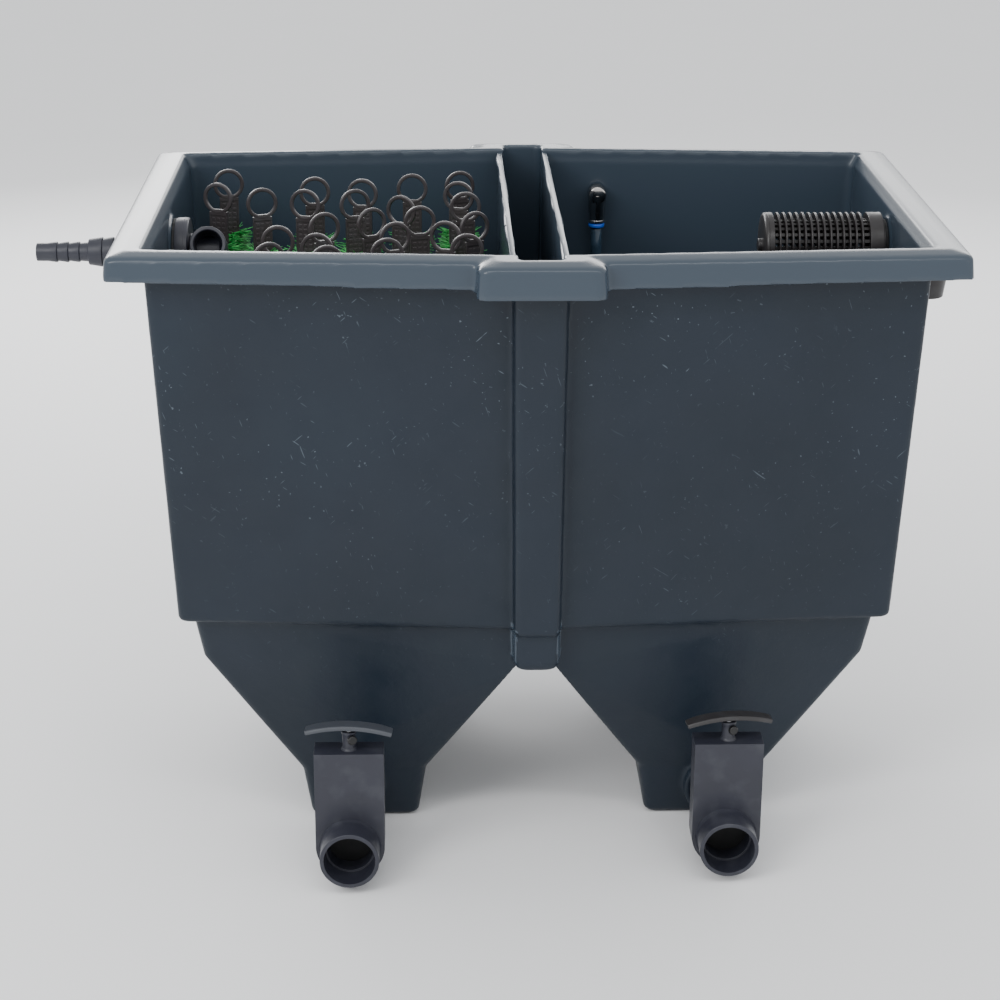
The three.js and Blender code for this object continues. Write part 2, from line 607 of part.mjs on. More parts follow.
function airTube() {
  const foot = diffuserZ();
  const turn = 55;
  const end = DIFFUSER.y + DIFFUSER.radius + 12;
  const start = new THREE.Vector3(AIR.x, AIR.y, AIR.collarZ + 16);
  const points = [start, new THREE.Vector3(AIR.x, AIR.y, (start.z + foot + turn) / 2)];
  for (let i = 0; i <= 4; i++) {
    const angle = (Math.PI / 2) * (i / 4);
    const across = turn * (1 - Math.cos(angle));
    points.push(new THREE.Vector3(AIR.x, AIR.y - across, foot + turn - turn * Math.sin(angle)));
  }
  points.push(new THREE.Vector3(AIR.x, end + FIT, foot));
  return cut(bend(points, AIR.tubeRadius, 10), bend(points, AIR.tubeRadius - 2, 8));
}

function airDiffuser() {
  const z = diffuserZ();
  const half = DIFFUSER.height / 2;
  const edge = DIFFUSER.y + DIFFUSER.radius;
  const disc = rod("z", [AIR.x, DIFFUSER.y, 0], z - half, z + half, DIFFUSER.radius, DIFFUSER.radius - 4, 24);
  const nipple = rod("y", [AIR.x, 0, z], edge - 8, edge + 12, 7, 7, 10);
  return join(disc, nipple);
}

// ---------------------------------------------------------------- filter brush
// Ring handle and tag in one moulding, over the envelope of the bristles.
function brushSolid() {
  const ring = new THREE.Shape();
  ring.absarc(0, 0, RING.radius, 0, Math.PI * 2);
  ring.holes.push(new THREE.Path().absarc(0, 0, RING.bore, 0, Math.PI * 2, true));
  const extrusion = { depth: RING.thick, curveSegments: 6, bevelEnabled: false };
  const loop = new THREE.ExtrudeGeometry(ring, extrusion);
  loop.translate(0, 0, -RING.thick / 2);
  loop.rotateX(Math.PI / 2);
  loop.translate(0, 0, RING.z);
  const half = TAG.width / 2;
  const tagTop = RING.z - RING.radius + 4;
  const tag = block([-half, -TAG.thick / 2, TAG.foot], [half, TAG.thick / 2, tagTop]);
  const { radius, topZ, footZ } = BRISTLES;
  const bristles = rod("z", [0, 0, 0], footZ, topZ, radius, radius, 10);
  return join(solid(loop), tag, bristles);
}

// ---------------------------------------------------------------- assembly
const FINISH = {
  gelcoat: { color: 0x35414d, roughness: 0.35, metalness: 0 },
  pvc: { color: 0x41434f, roughness: 0.5, metalness: 0 },
  black: { color: 0x2c2829, roughness: 0.45, metalness: 0 },
  handle: { color: 0x5a6069, roughness: 0.4, metalness: 0 },
  brush: { color: 0x3f6b45, roughness: 0.7, metalness: 0 },
  nickel: { color: 0x9a948e, roughness: 0.25, metalness: 1 },
  blue: { color: 0x1d5fd0, roughness: 0.35, metalness: 0 },
  tube: { color: 0x7fa6c9, roughness: 0.2, metalness: 0 },
  steel: { color: 0xb9bcc0, roughness: 0.3, metalness: 1 },
  rubber: { color: 0x1b1b1b, roughness: 0.8, metalness: 0 },
  stone: { color: 0x4b5f8f, roughness: 0.95, metalness: 0 },
  grid: { color: 0x23262a, roughness: 0.6, metalness: 0 },
};

const filter = new THREE.Group();

function place(name, shape, finish, parent = filter) {
  const mesh = new THREE.Mesh(geometryOf(shape), new THREE.MeshStandardMaterial(FINISH[finish]));
  mesh.name = name;
  parent.add(mesh);
  return mesh;
}

place("tank_shell", tankShell(), "gelcoat");
place("left_divider", divider(DIVIDER_X.left, LEFT_PORT_Z), "gelcoat");
place("right_divider", divider(DIVIDER_X.right, RIGHT_PORT_Z), "gelcoat");
place("brush_grid", floorGrid(-1), "grid");
place("media_grid", floorGrid(1), "grid");

for (const valve of VALVES) {
  const group = new THREE.Group();
  group.position.set(valve.x, valve.mouthY + SOCKET.reach + VALVE.thick / 2, VALVE_Z);
  filter.add(group);
  place(`${valve.name}_valve_body`, valveBody(), "pvc", group);
  place(`${valve.name}_valve_cap`, valveCap(), "pvc", group);
  place(`${valve.name}_valve_seal`, valveSeal(), "rubber", group);
  place(`${valve.name}_lock_screw`, lockScrew(), "black", group);
  place(`${valve.name}_gate`, gatePlate(), "pvc", group);
  place(`${valve.name}_gate_stem`, gateStem(), "steel", group);
  place(`${valve.name}_gate_handle`, pullHandle(valve.handleTurn), "handle", group);
  place(`${valve.name}_waste_pipe`, wastePipe(valve), "pvc");
}

place("inlet_connector", tankConnector(-1, INLET, 43, PAD_INSIDE - 20), "pvc");
place("inlet_gasket", wallGasket(-1, INLET, 42), "rubber");
place("inlet_nut", wallNut(-1, INLET), "pvc");
place("inlet_hose_tail", hoseTail(), "black");
place("inlet_elbow", inletElbow(), "pvc");

place("outlet_connector", outletConnector(), "black");
place("outlet_gasket", wallGasket(1, OUTLET, 33), "rubber");
place("outlet_nut", wallNut(1, OUTLET), "black");
place("outlet_strainer", strainer(), "black");
place("outlet_elbow", outletElbow(), "black");

place("air_bulkhead", airBulkhead(), "nickel");
place("air_elbow", airElbow(), "nickel");
place("air_release_collar", releaseCollar(), "blue");
place("air_tube", airTube(), "tube");
place("air_diffuser", airDiffuser(), "stone");

let brushNumber = 0;
for (const column of BRUSH_PLACES) {
  for (const [x, y, turn] of column) {
    brushNumber += 1;
    const name = `brush_${String(brushNumber).padStart(2, "0")}`;
    const brush = place(name, brushSolid(), "brush");
    brush.position.set(x, y, 0);
    brush.rotation.z = THREE.MathUtils.degToRad(turn);
  }
}

// Stand the whole filter on z = 0, centred on its bounding box.
filter.updateMatrixWorld(true);
const bounds = new THREE.Box3().setFromObject(filter, true);
const middle = bounds.getCenter(new THREE.Vector3());
filter.position.set(-middle.x, -middle.y, -bounds.min.z);

export default filter;
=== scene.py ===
"""Looks for a two-bay pond filter: laminated tank, brushes, slide valves, strainer, hose fittings and air feed."""

import math
import random

import bmesh
import bpy
from mathutils import Euler, Matrix, Vector


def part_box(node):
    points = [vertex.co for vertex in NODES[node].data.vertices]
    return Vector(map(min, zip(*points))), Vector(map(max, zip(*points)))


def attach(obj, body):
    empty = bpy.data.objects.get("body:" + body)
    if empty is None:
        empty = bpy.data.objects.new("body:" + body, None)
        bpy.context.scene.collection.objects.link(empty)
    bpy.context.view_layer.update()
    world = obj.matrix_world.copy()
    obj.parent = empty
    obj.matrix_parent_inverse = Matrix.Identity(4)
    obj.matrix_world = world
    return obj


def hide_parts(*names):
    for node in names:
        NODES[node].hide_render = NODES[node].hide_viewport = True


bl_info = {
    "name": "Pond Filter",
    "version": (1, 0, 0),
    "blender": (4, 5, 0),
    "location": "3D View > Sidebar > Pond Filter",
    "description": "Builds the visible surfaces of a two-bay gravity pond filter",
    "category": "Add Mesh",
}

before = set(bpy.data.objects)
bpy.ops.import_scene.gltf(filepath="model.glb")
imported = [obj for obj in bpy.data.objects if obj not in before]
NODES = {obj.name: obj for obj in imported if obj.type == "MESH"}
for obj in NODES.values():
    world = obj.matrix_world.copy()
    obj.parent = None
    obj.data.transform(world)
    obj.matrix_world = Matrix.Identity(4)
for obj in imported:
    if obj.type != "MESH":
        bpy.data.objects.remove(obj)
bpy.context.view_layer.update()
VALVE_SIDES = ("left", "right")
BRUSH_NAMES = [name for name in sorted(NODES) if name.startswith("brush_") and name != "brush_grid"]


def rim_centre():
    """The middle of the tank level with the rim's outer edge, just under its crown."""
    low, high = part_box("tank_shell")
    return Vector(((low[0] + high[0]) / 2, (low[1] + high[1]) / 2, high[2] - 0.0035))


RIM = rim_centre()
SKIRT_FOOT = 0.0365  # depth below the rim where the gelcoat ends and the laminate starts
BLADE_REACH = 0.032  # how far the loose filaments on top of a brush may stand out
# The slide valves, in millimetres from the bore's axis in the gate's plane.
HOUSING_HALF = 42  # half the width of the housing, and the radius of its foot
HOUSING_FACE = 17.5  # out to the housing's front face
CAP_TOP = 125
BORE = 27.5  # radius of the bore
SCREW_HEIGHT, SCREW_TURN = 141, math.radians(22)
HANDLE_UNDERSIDE = 152


def mm(*values):
    return Vector([value / 1000 for value in values])


# ------------------------------------------------------------------ settings
class TankSettings(bpy.types.PropertyGroup):
    voxel: bpy.props.FloatProperty(
        name="Skin detail", description="Cell size of the moulded skin", default=0.003, min=0.002, unit="LENGTH"
    )
    faces: bpy.props.IntProperty(
        name="Skin faces", description="Triangles kept in the moulded skin", default=175000, min=20000
    )
    lip: bpy.props.FloatProperty(
        name="Lip", description="Radius of the bead along each divider's top edge", default=0.0042, unit="LENGTH"
    )
    colour: bpy.props.FloatVectorProperty(
        name="Gelcoat", description="Colour of the gelcoat", subtype="COLOR", default=(0.0115, 0.0185, 0.029)
    )


class BrushSettings(bpy.types.PropertyGroup):
    filaments: bpy.props.IntProperty(
        name="Filaments", description="Filaments in one brush", default=2600, min=100
    )
    green: bpy.props.FloatVectorProperty(
        name="Bristles", description="Colour of the bristles", subtype="COLOR", default=(0.009, 0.260, 0.030)
    )
    handle: bpy.props.FloatVectorProperty(
        name="Handles", description="Colour of the ring handles", subtype="COLOR", default=(0.045, 0.038, 0.040)
    )


class ValveSettings(bpy.types.PropertyGroup):
    edge: bpy.props.FloatProperty(
        name="Edge", description="Rounding of the moulded edges", default=0.0014, unit="LENGTH"
    )
    colour: bpy.props.FloatVectorProperty(
        name="Body", description="Colour of the valve bodies", subtype="COLOR", default=(0.021, 0.0225, 0.034)
    )
    left_handle: bpy.props.FloatVectorProperty(
        name="Left handle", description="Colour of the left handle", subtype="COLOR", default=(0.052, 0.058, 0.070)
    )
    right_handle: bpy.props.FloatVectorProperty(
        name="Right handle", description="Colour of the right handle", subtype="COLOR", default=(0.028, 0.026, 0.027)
    )


class FittingSettings(bpy.types.PropertyGroup):
    steps: bpy.props.IntProperty(name="Steps", description="Sides of each turned piece", default=64, min=12)
    black: bpy.props.FloatVectorProperty(
        name="Strainer",
        description="Colour of the strainer and outlet",
        subtype="COLOR",
        default=(0.013, 0.0105, 0.011),
    )
    collar: bpy.props.FloatVectorProperty(
        name="Collar", description="Colour of the air fitting's collar", subtype="COLOR", default=(0.012, 0.11, 0.62)
    )


class StageSettings(bpy.types.PropertyGroup):
    floor: bpy.props.FloatProperty(
        name="Floor", description="Half width of the floor", default=9.0, unit="LENGTH"
    )
    lens: bpy.props.FloatProperty(name="Lens", description="Focal length", default=84.15, min=20)


# ------------------------------------------------------------------ node trees
def material(name, colour, roughness, metallic=0.0):
    """A material with its principled shader, ready for noise, bump and wear."""
    made = bpy.data.materials.new(name)
    made.use_nodes = True
    shader = made.node_tree.nodes["Principled BSDF"]
    shader.inputs["Base Color"].default_value = (*colour, 1)
    shader.inputs["Roughness"].default_value = roughness
    shader.inputs["Metallic"].default_value = metallic
    return made


def object_coordinates(made, scale=(1, 1, 1), turn=(0, 0, 0)):
    tree = made.node_tree
    source = tree.nodes.new("ShaderNodeTexCoord")
    mapping = tree.nodes.new("ShaderNodeMapping")
    mapping.vector_type = "TEXTURE"
    mapping.inputs["Scale"].default_value = [1 / share for share in scale]
    mapping.inputs["Rotation"].default_value = turn
    tree.links.new(source.outputs["Object"], mapping.inputs["Vector"])
    return mapping.outputs["Vector"]


def noise(made, scale, detail=4.0, stretch=(1, 1, 1), turn=(0, 0, 0), distortion=0.0):
    node = made.node_tree.nodes.new("ShaderNodeTexNoise")
    node.inputs["Scale"].default_value = scale
    node.inputs["Detail"].default_value = detail
    node.inputs["Distortion"].default_value = distortion
    made.node_tree.links.new(object_coordinates(made, stretch, turn), node.inputs["Vector"])
    return node.outputs["Fac"]


def spread(made, value, low, high, to_low=0.0, to_high=1.0):
    """Maps low to high of a value onto another span, clamped at both ends."""
    node = made.node_tree.nodes.new("ShaderNodeMapRange")
    for name, number in (("From Min", low), ("From Max", high), ("To Min", to_low), ("To Max", to_high)):
        node.inputs[name].default_value = number
    made.node_tree.links.new(value, node.inputs["Value"])
    return node.outputs["Result"]


def product(made, first, second):
    node = made.node_tree.nodes.new("ShaderNodeMath")
    node.operation = "MULTIPLY"
    for socket, value in zip(node.inputs, (first, second)):
        if isinstance(value, (int, float)):
            socket.default_value = value
        else:
            made.node_tree.links.new(value, socket)
    return node.outputs[0]


def blend_colour(made, amount, first, second):
    """Mixes two colours, each a tuple or a socket."""
    node = made.node_tree.nodes.new("ShaderNodeMix")
    node.data_type = "RGBA"
    made.node_tree.links.new(amount, node.inputs["Factor"])
    for socket, value in ((node.inputs[6], first), (node.inputs[7], second)):
        if isinstance(value, tuple):
            socket.default_value = (*value, 1)
        else:
            made.node_tree.links.new(value, socket)
    return node.outputs[2]


def connect(made, value, name):
    made.node_tree.links.new(value, made.node_tree.nodes["Principled BSDF"].inputs[name])


def bump(made, *layers):
    """Stacks bumps: each layer is (height socket, strength, distance in metres)."""
    tree = made.node_tree
    previous = None
    for height, strength, distance in layers:
        node = tree.nodes.new("ShaderNodeBump")
        node.inputs["Strength"].default_value = strength
        node.inputs["Distance"].default_value = distance
        tree.links.new(height, node.inputs["Height"])
        if previous:
            tree.links.new(previous, node.inputs["Normal"])
        previous = node.outputs["Normal"]
    connect(made, previous, "Normal")


def height_above_floor(made):
    split = made.node_tree.nodes.new("ShaderNodeSeparateXYZ")
    made.node_tree.links.new(object_coordinates(made), split.inputs[0])
    return split.outputs["Z"]


def shade_of(colour, factor):
    return tuple(min(1.0, channel * factor) for channel in colour)


def gelcoat(colour):
    """Glossy polished gelcoat of the rim and the inside, with a faint orange peel."""
    made = material("gelcoat", colour, 0.2)
    cloud = spread(made, noise(made, 5, 3), 0.3, 0.7)
    connect(made, blend_colour(made, cloud, shade_of(colour, 0.9), shade_of(colour, 1.12)), "Base Color")
    connect(made, spread(made, noise(made, 30, 5), 0.3, 0.75, 0.13, 0.27), "Roughness")
    bump(made, (noise(made, 45, 2), 0.10, 0.002), (noise(made, 420, 3), 0.05, 0.0004))
    return made


def laminate(colour):
    """Rolled glass laminate of the outside under flowcoat, with pale specks and short scuffs near the rim."""
    made = material("laminate", colour, 0.42)
    made.node_tree.nodes["Principled BSDF"].inputs["Specular IOR Level"].default_value = 0.3
    cloud = spread(made, noise(made, 3.5, 5, distortion=0.4), 0.3, 0.72)
    base = blend_colour(made, cloud, shade_of(colour, 0.82), shade_of(colour, 1.1))
    high = spread(made, height_above_floor(made), 0.2, 0.74, 0.03, 1.0)
    patches = spread(made, noise(made, 7, 3), 0.4, 0.62, 0.15, 1.0)
    near_rim = product(made, patches, high)
    specks = product(made, spread(made, noise(made, 230, 1), 0.735, 0.77), near_rim)
    base = blend_colour(made, product(made, specks, 0.55), base, (0.24, 0.29, 0.34))
    for turn, scale in ((0.6, 52), (-0.75, 60), (1.25, 70)):
        lines = noise(made, scale, 0.5, (0.9, 1.6, 8), (0, turn, 0))
        scuff = product(made, spread(made, lines, 0.785, 0.82), near_rim)
        base = blend_colour(made, product(made, scuff, 0.45), base, (0.22, 0.27, 0.32))
    connect(made, base, "Base Color")
    connect(made, spread(made, noise(made, 22, 6), 0.3, 0.7, 0.34, 0.52), "Roughness")
    fibres = noise(made, 150, 6, distortion=1.2)
    bump(made, (noise(made, 14, 4), 0.25, 0.005), (noise(made, 55, 5), 0.25, 0.002), (fibres, 0.3, 0.0006))
    return made


def moulded(name, colour, roughness=0.42, grain=0.22, dust=0.25):
    """Injection-moulded plastic: fine grain, faint flow clouds, a little dust on it."""
    made = material(name, colour, roughness)
    cloud = spread(made, noise(made, 18, 4), 0.3, 0.7)
    base = blend_colour(made, cloud, shade_of(colour, 0.88), shade_of(colour, 1.1))
    dusty = product(made, spread(made, noise(made, 45, 8), 0.5, 0.8), dust)
    connect(made, blend_colour(made, dusty, base, (0.10, 0.105, 0.12)), "Base Color")
    connect(made, spread(made, noise(made, 70, 5), 0.3, 0.7, roughness - 0.07, roughness + 0.09), "Roughness")
    bump(made, (noise(made, 900, 2), grain, 0.00025), (noise(made, 60, 3), 0.1, 0.0008))
    return made


def bristle_plastic(colour):
    """Drawn filaments, paler in random flecks that are painted highlights, and darker down in the bay from painted
    shade.
    """
    made = material("bristles", colour, 0.38)
    strand = spread(made, noise(made, 120, 2), 0.3, 0.7)
    base = blend_colour(made, strand, shade_of(colour, 0.5), (0.05, 0.50, 0.10))
    # painted highlight: random paler flecks stand in for glints of light on the filaments
    pale = spread(made, noise(made, 260, 1), 0.66, 0.72, 0.0, 0.8)
    base = blend_colour(made, pale, base, (0.30, 0.62, 0.34))
    # painted shade: below this height the bristles are painted much darker, standing in for the shade down in the bay
    depth = spread(made, height_above_floor(made), 0.640, 0.665)
    connect(made, blend_colour(made, depth, shade_of(colour, 0.12), base), "Base Color")
    connect(made, spread(made, noise(made, 300, 2), 0.3, 0.7, 0.3, 0.5), "Roughness")
    return made


def plated(name, colour, roughness, streak):
    """Metal with fine drawn or polished streaks along one way."""
    made = material(name, colour, roughness, 1.0)
    lines = noise(made, 220, 3, streak)
    base = blend_colour(made, spread(made, lines, 0.3, 0.7), shade_of(colour, 0.82), shade_of(colour, 1.08))
    connect(made, base, "Base Color")
    connect(made, spread(made, noise(made, 60, 4), 0.3, 0.7, roughness * 0.7, roughness * 1.4), "Roughness")
    bump(made, (lines, 0.08, 0.0002))
    return made


def clear_tube():
    """Blue-tinted clear hose with a faint haze."""
    made = material("clear_tube", (0.06, 0.11, 0.17), 0.12)
    shader = made.node_tree.nodes["Principled BSDF"]
    shader.inputs["Transmission Weight"].default_value = 0.55
    shader.inputs["IOR"].default_value = 1.42
    haze = spread(made, noise(made, 80, 4), 0.3, 0.7)
    connect(made, blend_colour(made, haze, (0.035, 0.07, 0.11), (0.08, 0.14, 0.21)), "Base Color")
    connect(made, spread(made, noise(made, 200, 2), 0.3, 0.7, 0.08, 0.2), "Roughness")
    return made


def rubber():
    made = material("seal_rubber", (0.012, 0.012, 0.013), 0.75)
    connect(made, spread(made, noise(made, 160, 4), 0.3, 0.7, 0.62, 0.85), "Roughness")
    bump(made, (noise(made, 700, 3), 0.4, 0.0003))
    return made


def sintered_stone():
    """Blue-grey grains pressed together, for the air diffuser."""
    made = material("sintered_stone", (0.07, 0.10, 0.22), 0.95)
    grains = made.node_tree.nodes.new("ShaderNodeTexVoronoi")
    grains.inputs["Scale"].default_value = 700
    made.node_tree.links.new(object_coordinates(made), grains.inputs["Vector"])
    speckle = spread(made, noise(made, 500, 2), 0.35, 0.7)
    connect(made, blend_colour(made, speckle, (0.04, 0.06, 0.14), (0.12, 0.16, 0.30)), "Base Color")
    bump(made, (grains.outputs["Distance"], 0.8, 0.0012))
    return made


def finish(name):
    """The named finish, made once from the settings."""
    made = bpy.data.materials.get(name)
    if made:
        return made
    scene = bpy.context.scene
    tank, brush, valve, fitting = scene.filter_tank, scene.filter_brush, scene.filter_valve, scene.filter_fitting
    makers = {
        # painted light: the gelcoat is the tank colour made 1.1 times lighter, standing in for the brighter light on
        # the inner walls
        "gelcoat": lambda: gelcoat(shade_of(tank.colour, 1.1)),
        "laminate": lambda: laminate(tuple(tank.colour)),
        "valve_plastic": lambda: moulded("valve_plastic", tuple(valve.colour)),
        "left_handle_plastic": lambda: moulded("left_handle_plastic", tuple(valve.left_handle), 0.34, 0.12, 0.1),
        "right_handle_plastic": lambda: moulded("right_handle_plastic", tuple(valve.right_handle), 0.36, 0.12, 0.15),
        "strainer_plastic": lambda: moulded("strainer_plastic", tuple(fitting.black), 0.36, 0.15, 0.12),
        # painted shade: the gate is painted near black, standing in for the dark inside the bore
        "gate_plastic": lambda: moulded("gate_plastic", (0.002, 0.002, 0.0025), 0.6, 0.1, 0.0),
        "screw_plastic": lambda: moulded("screw_plastic", (0.003, 0.003, 0.0035), 0.35, 0.1, 0.02),
        "handle_plastic": lambda: moulded("handle_plastic", tuple(brush.handle), 0.35, 0.3, 0.3),
        "grid_plastic": lambda: moulded("grid_plastic", (0.016, 0.019, 0.022), 0.5, 0.3, 0.3),
        "collar_plastic": lambda: moulded("collar_plastic", tuple(fitting.collar), 0.25, 0.08, 0.05),
        "bristles": lambda: bristle_plastic(tuple(brush.green)),
        "wire": lambda: plated("wire", (0.55, 0.56, 0.58), 0.35, (1, 1, 6)),
        "nickel": lambda: plated("nickel", (0.36, 0.31, 0.29), 0.3, (1, 1, 8)),
        "chrome_ring": lambda: plated("chrome_ring", (0.72, 0.72, 0.73), 0.12, (1, 1, 8)),
        "stem_steel": lambda: plated("stem_steel", (0.5, 0.5, 0.52), 0.28, (8, 8, 0.5)),
        "clear_tube": clear_tube,
        "seal_rubber": rubber,
        "sintered_stone": sintered_stone,
    }
    return makers[name]()


# ------------------------------------------------------------------ making pieces
def mesh_of(bm, name):
    """Writes a bmesh into a new mesh and frees it."""
    mesh = bpy.data.meshes.new(name)
    bm.to_mesh(mesh)
    bm.free()
    return mesh


def add_piece(bm, name, body, replaced=(), finishes=(), edge=0.0, smooth=True):
    """Turns a bmesh into a piece that rides on a body and stands for CAD nodes."""
    return add_mesh(mesh_of(bm, name), name, body, replaced, finishes, edge, smooth)


def add_mesh(mesh, name, body, replaced=(), finishes=(), edge=0.0, smooth=True):
    for finish_name in finishes:
        mesh.materials.append(finish(finish_name))
    if smooth:
        mesh.shade_smooth()
    made = bpy.data.objects.new(name, mesh)
    bpy.context.scene.collection.objects.link(made)
    if edge:
        rounding = made.modifiers.new("rounding", "BEVEL")
        rounding.width = edge
        rounding.segments = 3
        rounding.limit_method = "ANGLE"
        rounding.angle_limit = math.radians(32)
        rounding.harden_normals = True
    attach(made, body)
    if replaced:
        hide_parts(*replaced)
    return made


def point_on(axis, origin, along, radius):
    """The point at a distance along an axis from origin and out from it, in millimetres."""
    offsets = {"x": (along, 0, radius), "y": (0, along, radius), "z": (radius, 0, along)}
    return Vector(origin) + mm(*offsets[axis])


def turn_profile(bm, axis, origin, profile, steps, closed=True, slot=0):
    """Spins a profile of (along, radius) points in millimetres all the way round an axis."""
    known = set(bm.faces)
    verts = [bm.verts.new(point_on(axis, origin, along, radius)) for along, radius in profile]
    pairs = list(zip(verts, verts[1:]))
    if closed:
        pairs.append((verts[-1], verts[0]))
    edges = [bm.edges.new(pair) for pair in pairs]
    direction = {"x": (1, 0, 0), "y": (0, 1, 0), "z": (0, 0, 1)}[axis]
    bmesh.ops.spin(
        bm,
        geom=verts + edges,
        cent=origin,
        axis=direction,
        angle=2 * math.pi,
        steps=steps,
        use_merge=True,
    )
    fresh = [face for face in bm.faces if face not in known]
    touched = list({vert for face in fresh for vert in face.verts})
    bmesh.ops.remove_doubles(bm, verts=touched, dist=1e-6)
    fresh = [face for face in bm.faces if face not in known]
    bmesh.ops.recalc_face_normals(bm, faces=fresh)
    for face in fresh:
        face.material_index = slot
    return fresh


def add_block(bm, low, high):
    """A box between two corners, in metres."""
    low, high = Vector(low), Vector(high)
    made = bmesh.ops.create_cube(bm, size=1, matrix=Matrix.Translation((low + high) / 2))
    bmesh.ops.scale(bm, vec=high - low, verts=made["verts"], space=Matrix.Translation(-(low + high) / 2))
    return made["verts"]


def round_corners(bm, verts, offset):
    """Bevels the edges among some vertices that run along Y."""
    edges = {edge for vert in verts for edge in vert.link_edges}
    along = [edge for edge in edges if abs((edge.verts[0].co - edge.verts[1].co).normalized().y) > 0.999]
    bmesh.ops.bevel(
        bm, geom=along, offset=offset, affect="EDGES", segments=4, profile=0.5, material=-1, clamp_overlap=True
    )


def merged_copy(node):
    """A bmesh of a CAD node with its loose triangles merged into clean faces."""
    bm = bmesh.new()
    bm.from_mesh(NODES[node].data)
    bmesh.ops.remove_doubles(bm, verts=bm.verts, dist=1e-5)
    bmesh.ops.dissolve_limit(
        bm, angle_limit=math.radians(1), use_dissolve_boundaries=False, verts=bm.verts, edges=bm.edges
    )
    return bm


def sweep(bm, route, radius, sides):
    """A closed tube along points in metres."""
    rings = []
    for index, point in enumerate(route):
        before = route[max(index - 1, 0)]
        after = route[min(index + 1, len(route) - 1)]
        turn = (after - before).to_track_quat("Z", "Y").to_matrix().to_4x4()
        size = radius[index] if isinstance(radius, list) else radius
        ring = bmesh.ops.create_circle(bm, segments=sides, radius=size, matrix=Matrix.Translation(point) @ turn)
        rings.append(ring["verts"])
    faces = []
    for first, second in zip(rings, rings[1:]):
        for i in range(sides):
            j = (i + 1) % sides
            faces.append(bm.faces.new((first[i], first[j], second[j], second[i])))
    faces.append(bm.faces.new(reversed(rings[0])))
    faces.append(bm.faces.new(rings[-1]))
    bmesh.ops.recalc_face_normals(bm, faces=faces)


# ------------------------------------------------------------------ tank
def skin_of(node, voxel, faces):
    """A moulded skin over a CAD node: every edge softened and every corner filleted."""
    bm = bmesh.new()
    bm.from_mesh(NODES[node].data)
    bmesh.ops.remove_doubles(bm, verts=bm.verts, dist=1e-5)
    shape = bpy.data.objects.new(node + "_shape", mesh_of(bm, node + "_skin"))
    bpy.context.scene.collection.objects.link(shape)
    remesh = shape.modifiers.new("remesh", "REMESH")
    remesh.mode = "VOXEL"
    remesh.voxel_size = voxel
    soften = shape.modifiers.new("soften", "SMOOTH")
    soften.factor = 0.5
    soften.iterations = 3
    thin = shape.modifiers.new("thin", "DECIMATE")
    whole = bpy.data.meshes.new_from_object(shape.evaluated_get(bpy.context.evaluated_depsgraph_get()))
    thin.ratio = min(1.0, faces / (2 * len(whole.polygons)))
    bpy.context.view_layer.update()
    skin = bpy.data.meshes.new_from_object(shape.evaluated_get(bpy.context.evaluated_depsgraph_get()))
    bpy.data.objects.remove(shape)
    bpy.data.meshes.remove(whole)
    return skin


def faces_out(centre, normal):
    """True on the laminated outside of the tank, below the rim's skirt."""
    if centre.z > RIM.z - SKIRT_FOOT:
        return False
    if centre.z < RIM.z - 0.46:
        bay = RIM.x + math.copysign(0.2146, centre.x - RIM.x)
        sideways = Vector((centre.x - bay, (centre.y - RIM.y) * 0.6, 0))
        return normal.dot(sideways.normalized()) > 0.1 or normal.z < -0.25
    sideways = Vector((centre.x - RIM.x, centre.y - RIM.y, 0)).normalized()
    return normal.dot(sideways) > 0 or normal.z < -0.5


class FILTER_OT_tank(bpy.types.Operator):
    """Build the laminated tank with its glossy rim and inside"""

    bl_idname = "filter.tank"
    bl_label = "Tank"

    def execute(self, context):
        settings = context.scene.filter_tank
        skin = skin_of("tank_shell", settings.voxel, settings.faces)
        skin.materials.clear()
        bm = bmesh.new()
        bm.from_mesh(skin)
        everything = bm.verts[:] + bm.edges[:] + bm.faces[:]
        foot = (0, 0, RIM.z - SKIRT_FOOT)
        bmesh.ops.bisect_plane(bm, geom=everything, dist=1e-6, plane_co=foot, plane_no=(0, 0, 1))
        bm.to_mesh(skin)
        bm.free()
        made = add_mesh(skin, "tank_skin", "root", ["tank_shell"], ["gelcoat", "laminate"])
        made.modifiers.new("even", "WEIGHTED_NORMAL")
        for face in made.data.polygons:
            face.material_index = 1 if faces_out(face.center, face.normal) else 0
        return {"FINISHED"}


class FILTER_OT_dividers(bpy.types.Operator):
    """Build the two divider walls, each with a hand-laid bead along its top"""

    bl_idname = "filter.dividers"
    bl_label = "Dividers"

    def execute(self, context):
        radius = context.scene.filter_tank.lip
        for side in VALVE_SIDES:
            node = side + "_divider"
            low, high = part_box(node)
            bm = merged_copy(node)
            middle = (low[0] + high[0]) / 2
            wander = random.Random(side)
            phases = [wander.uniform(0, 6.28) for _ in range(4)]
            route, sizes = [], []
            for step in range(81):
                y = low[1] + 0.004 + (high[1] - low[1] - 0.008) * step / 80
                drift = 0.0011 * math.sin(y * 17 + phases[0]) + 0.0006 * math.sin(y * 47 + phases[1])
                lift = 0.0009 * math.sin(y * 23 + phases[2]) - 0.0008
                route.append(Vector((middle + drift, y, high[2] - radius + lift)))
                sizes.append(radius * (1 + 0.12 * math.sin(y * 61 + phases[3])))
            sweep(bm, route, sizes, 20)
            add_piece(bm, node + "_wall", "root", [node], ["gelcoat"], edge=0.0012)
        return {"FINISHED"}


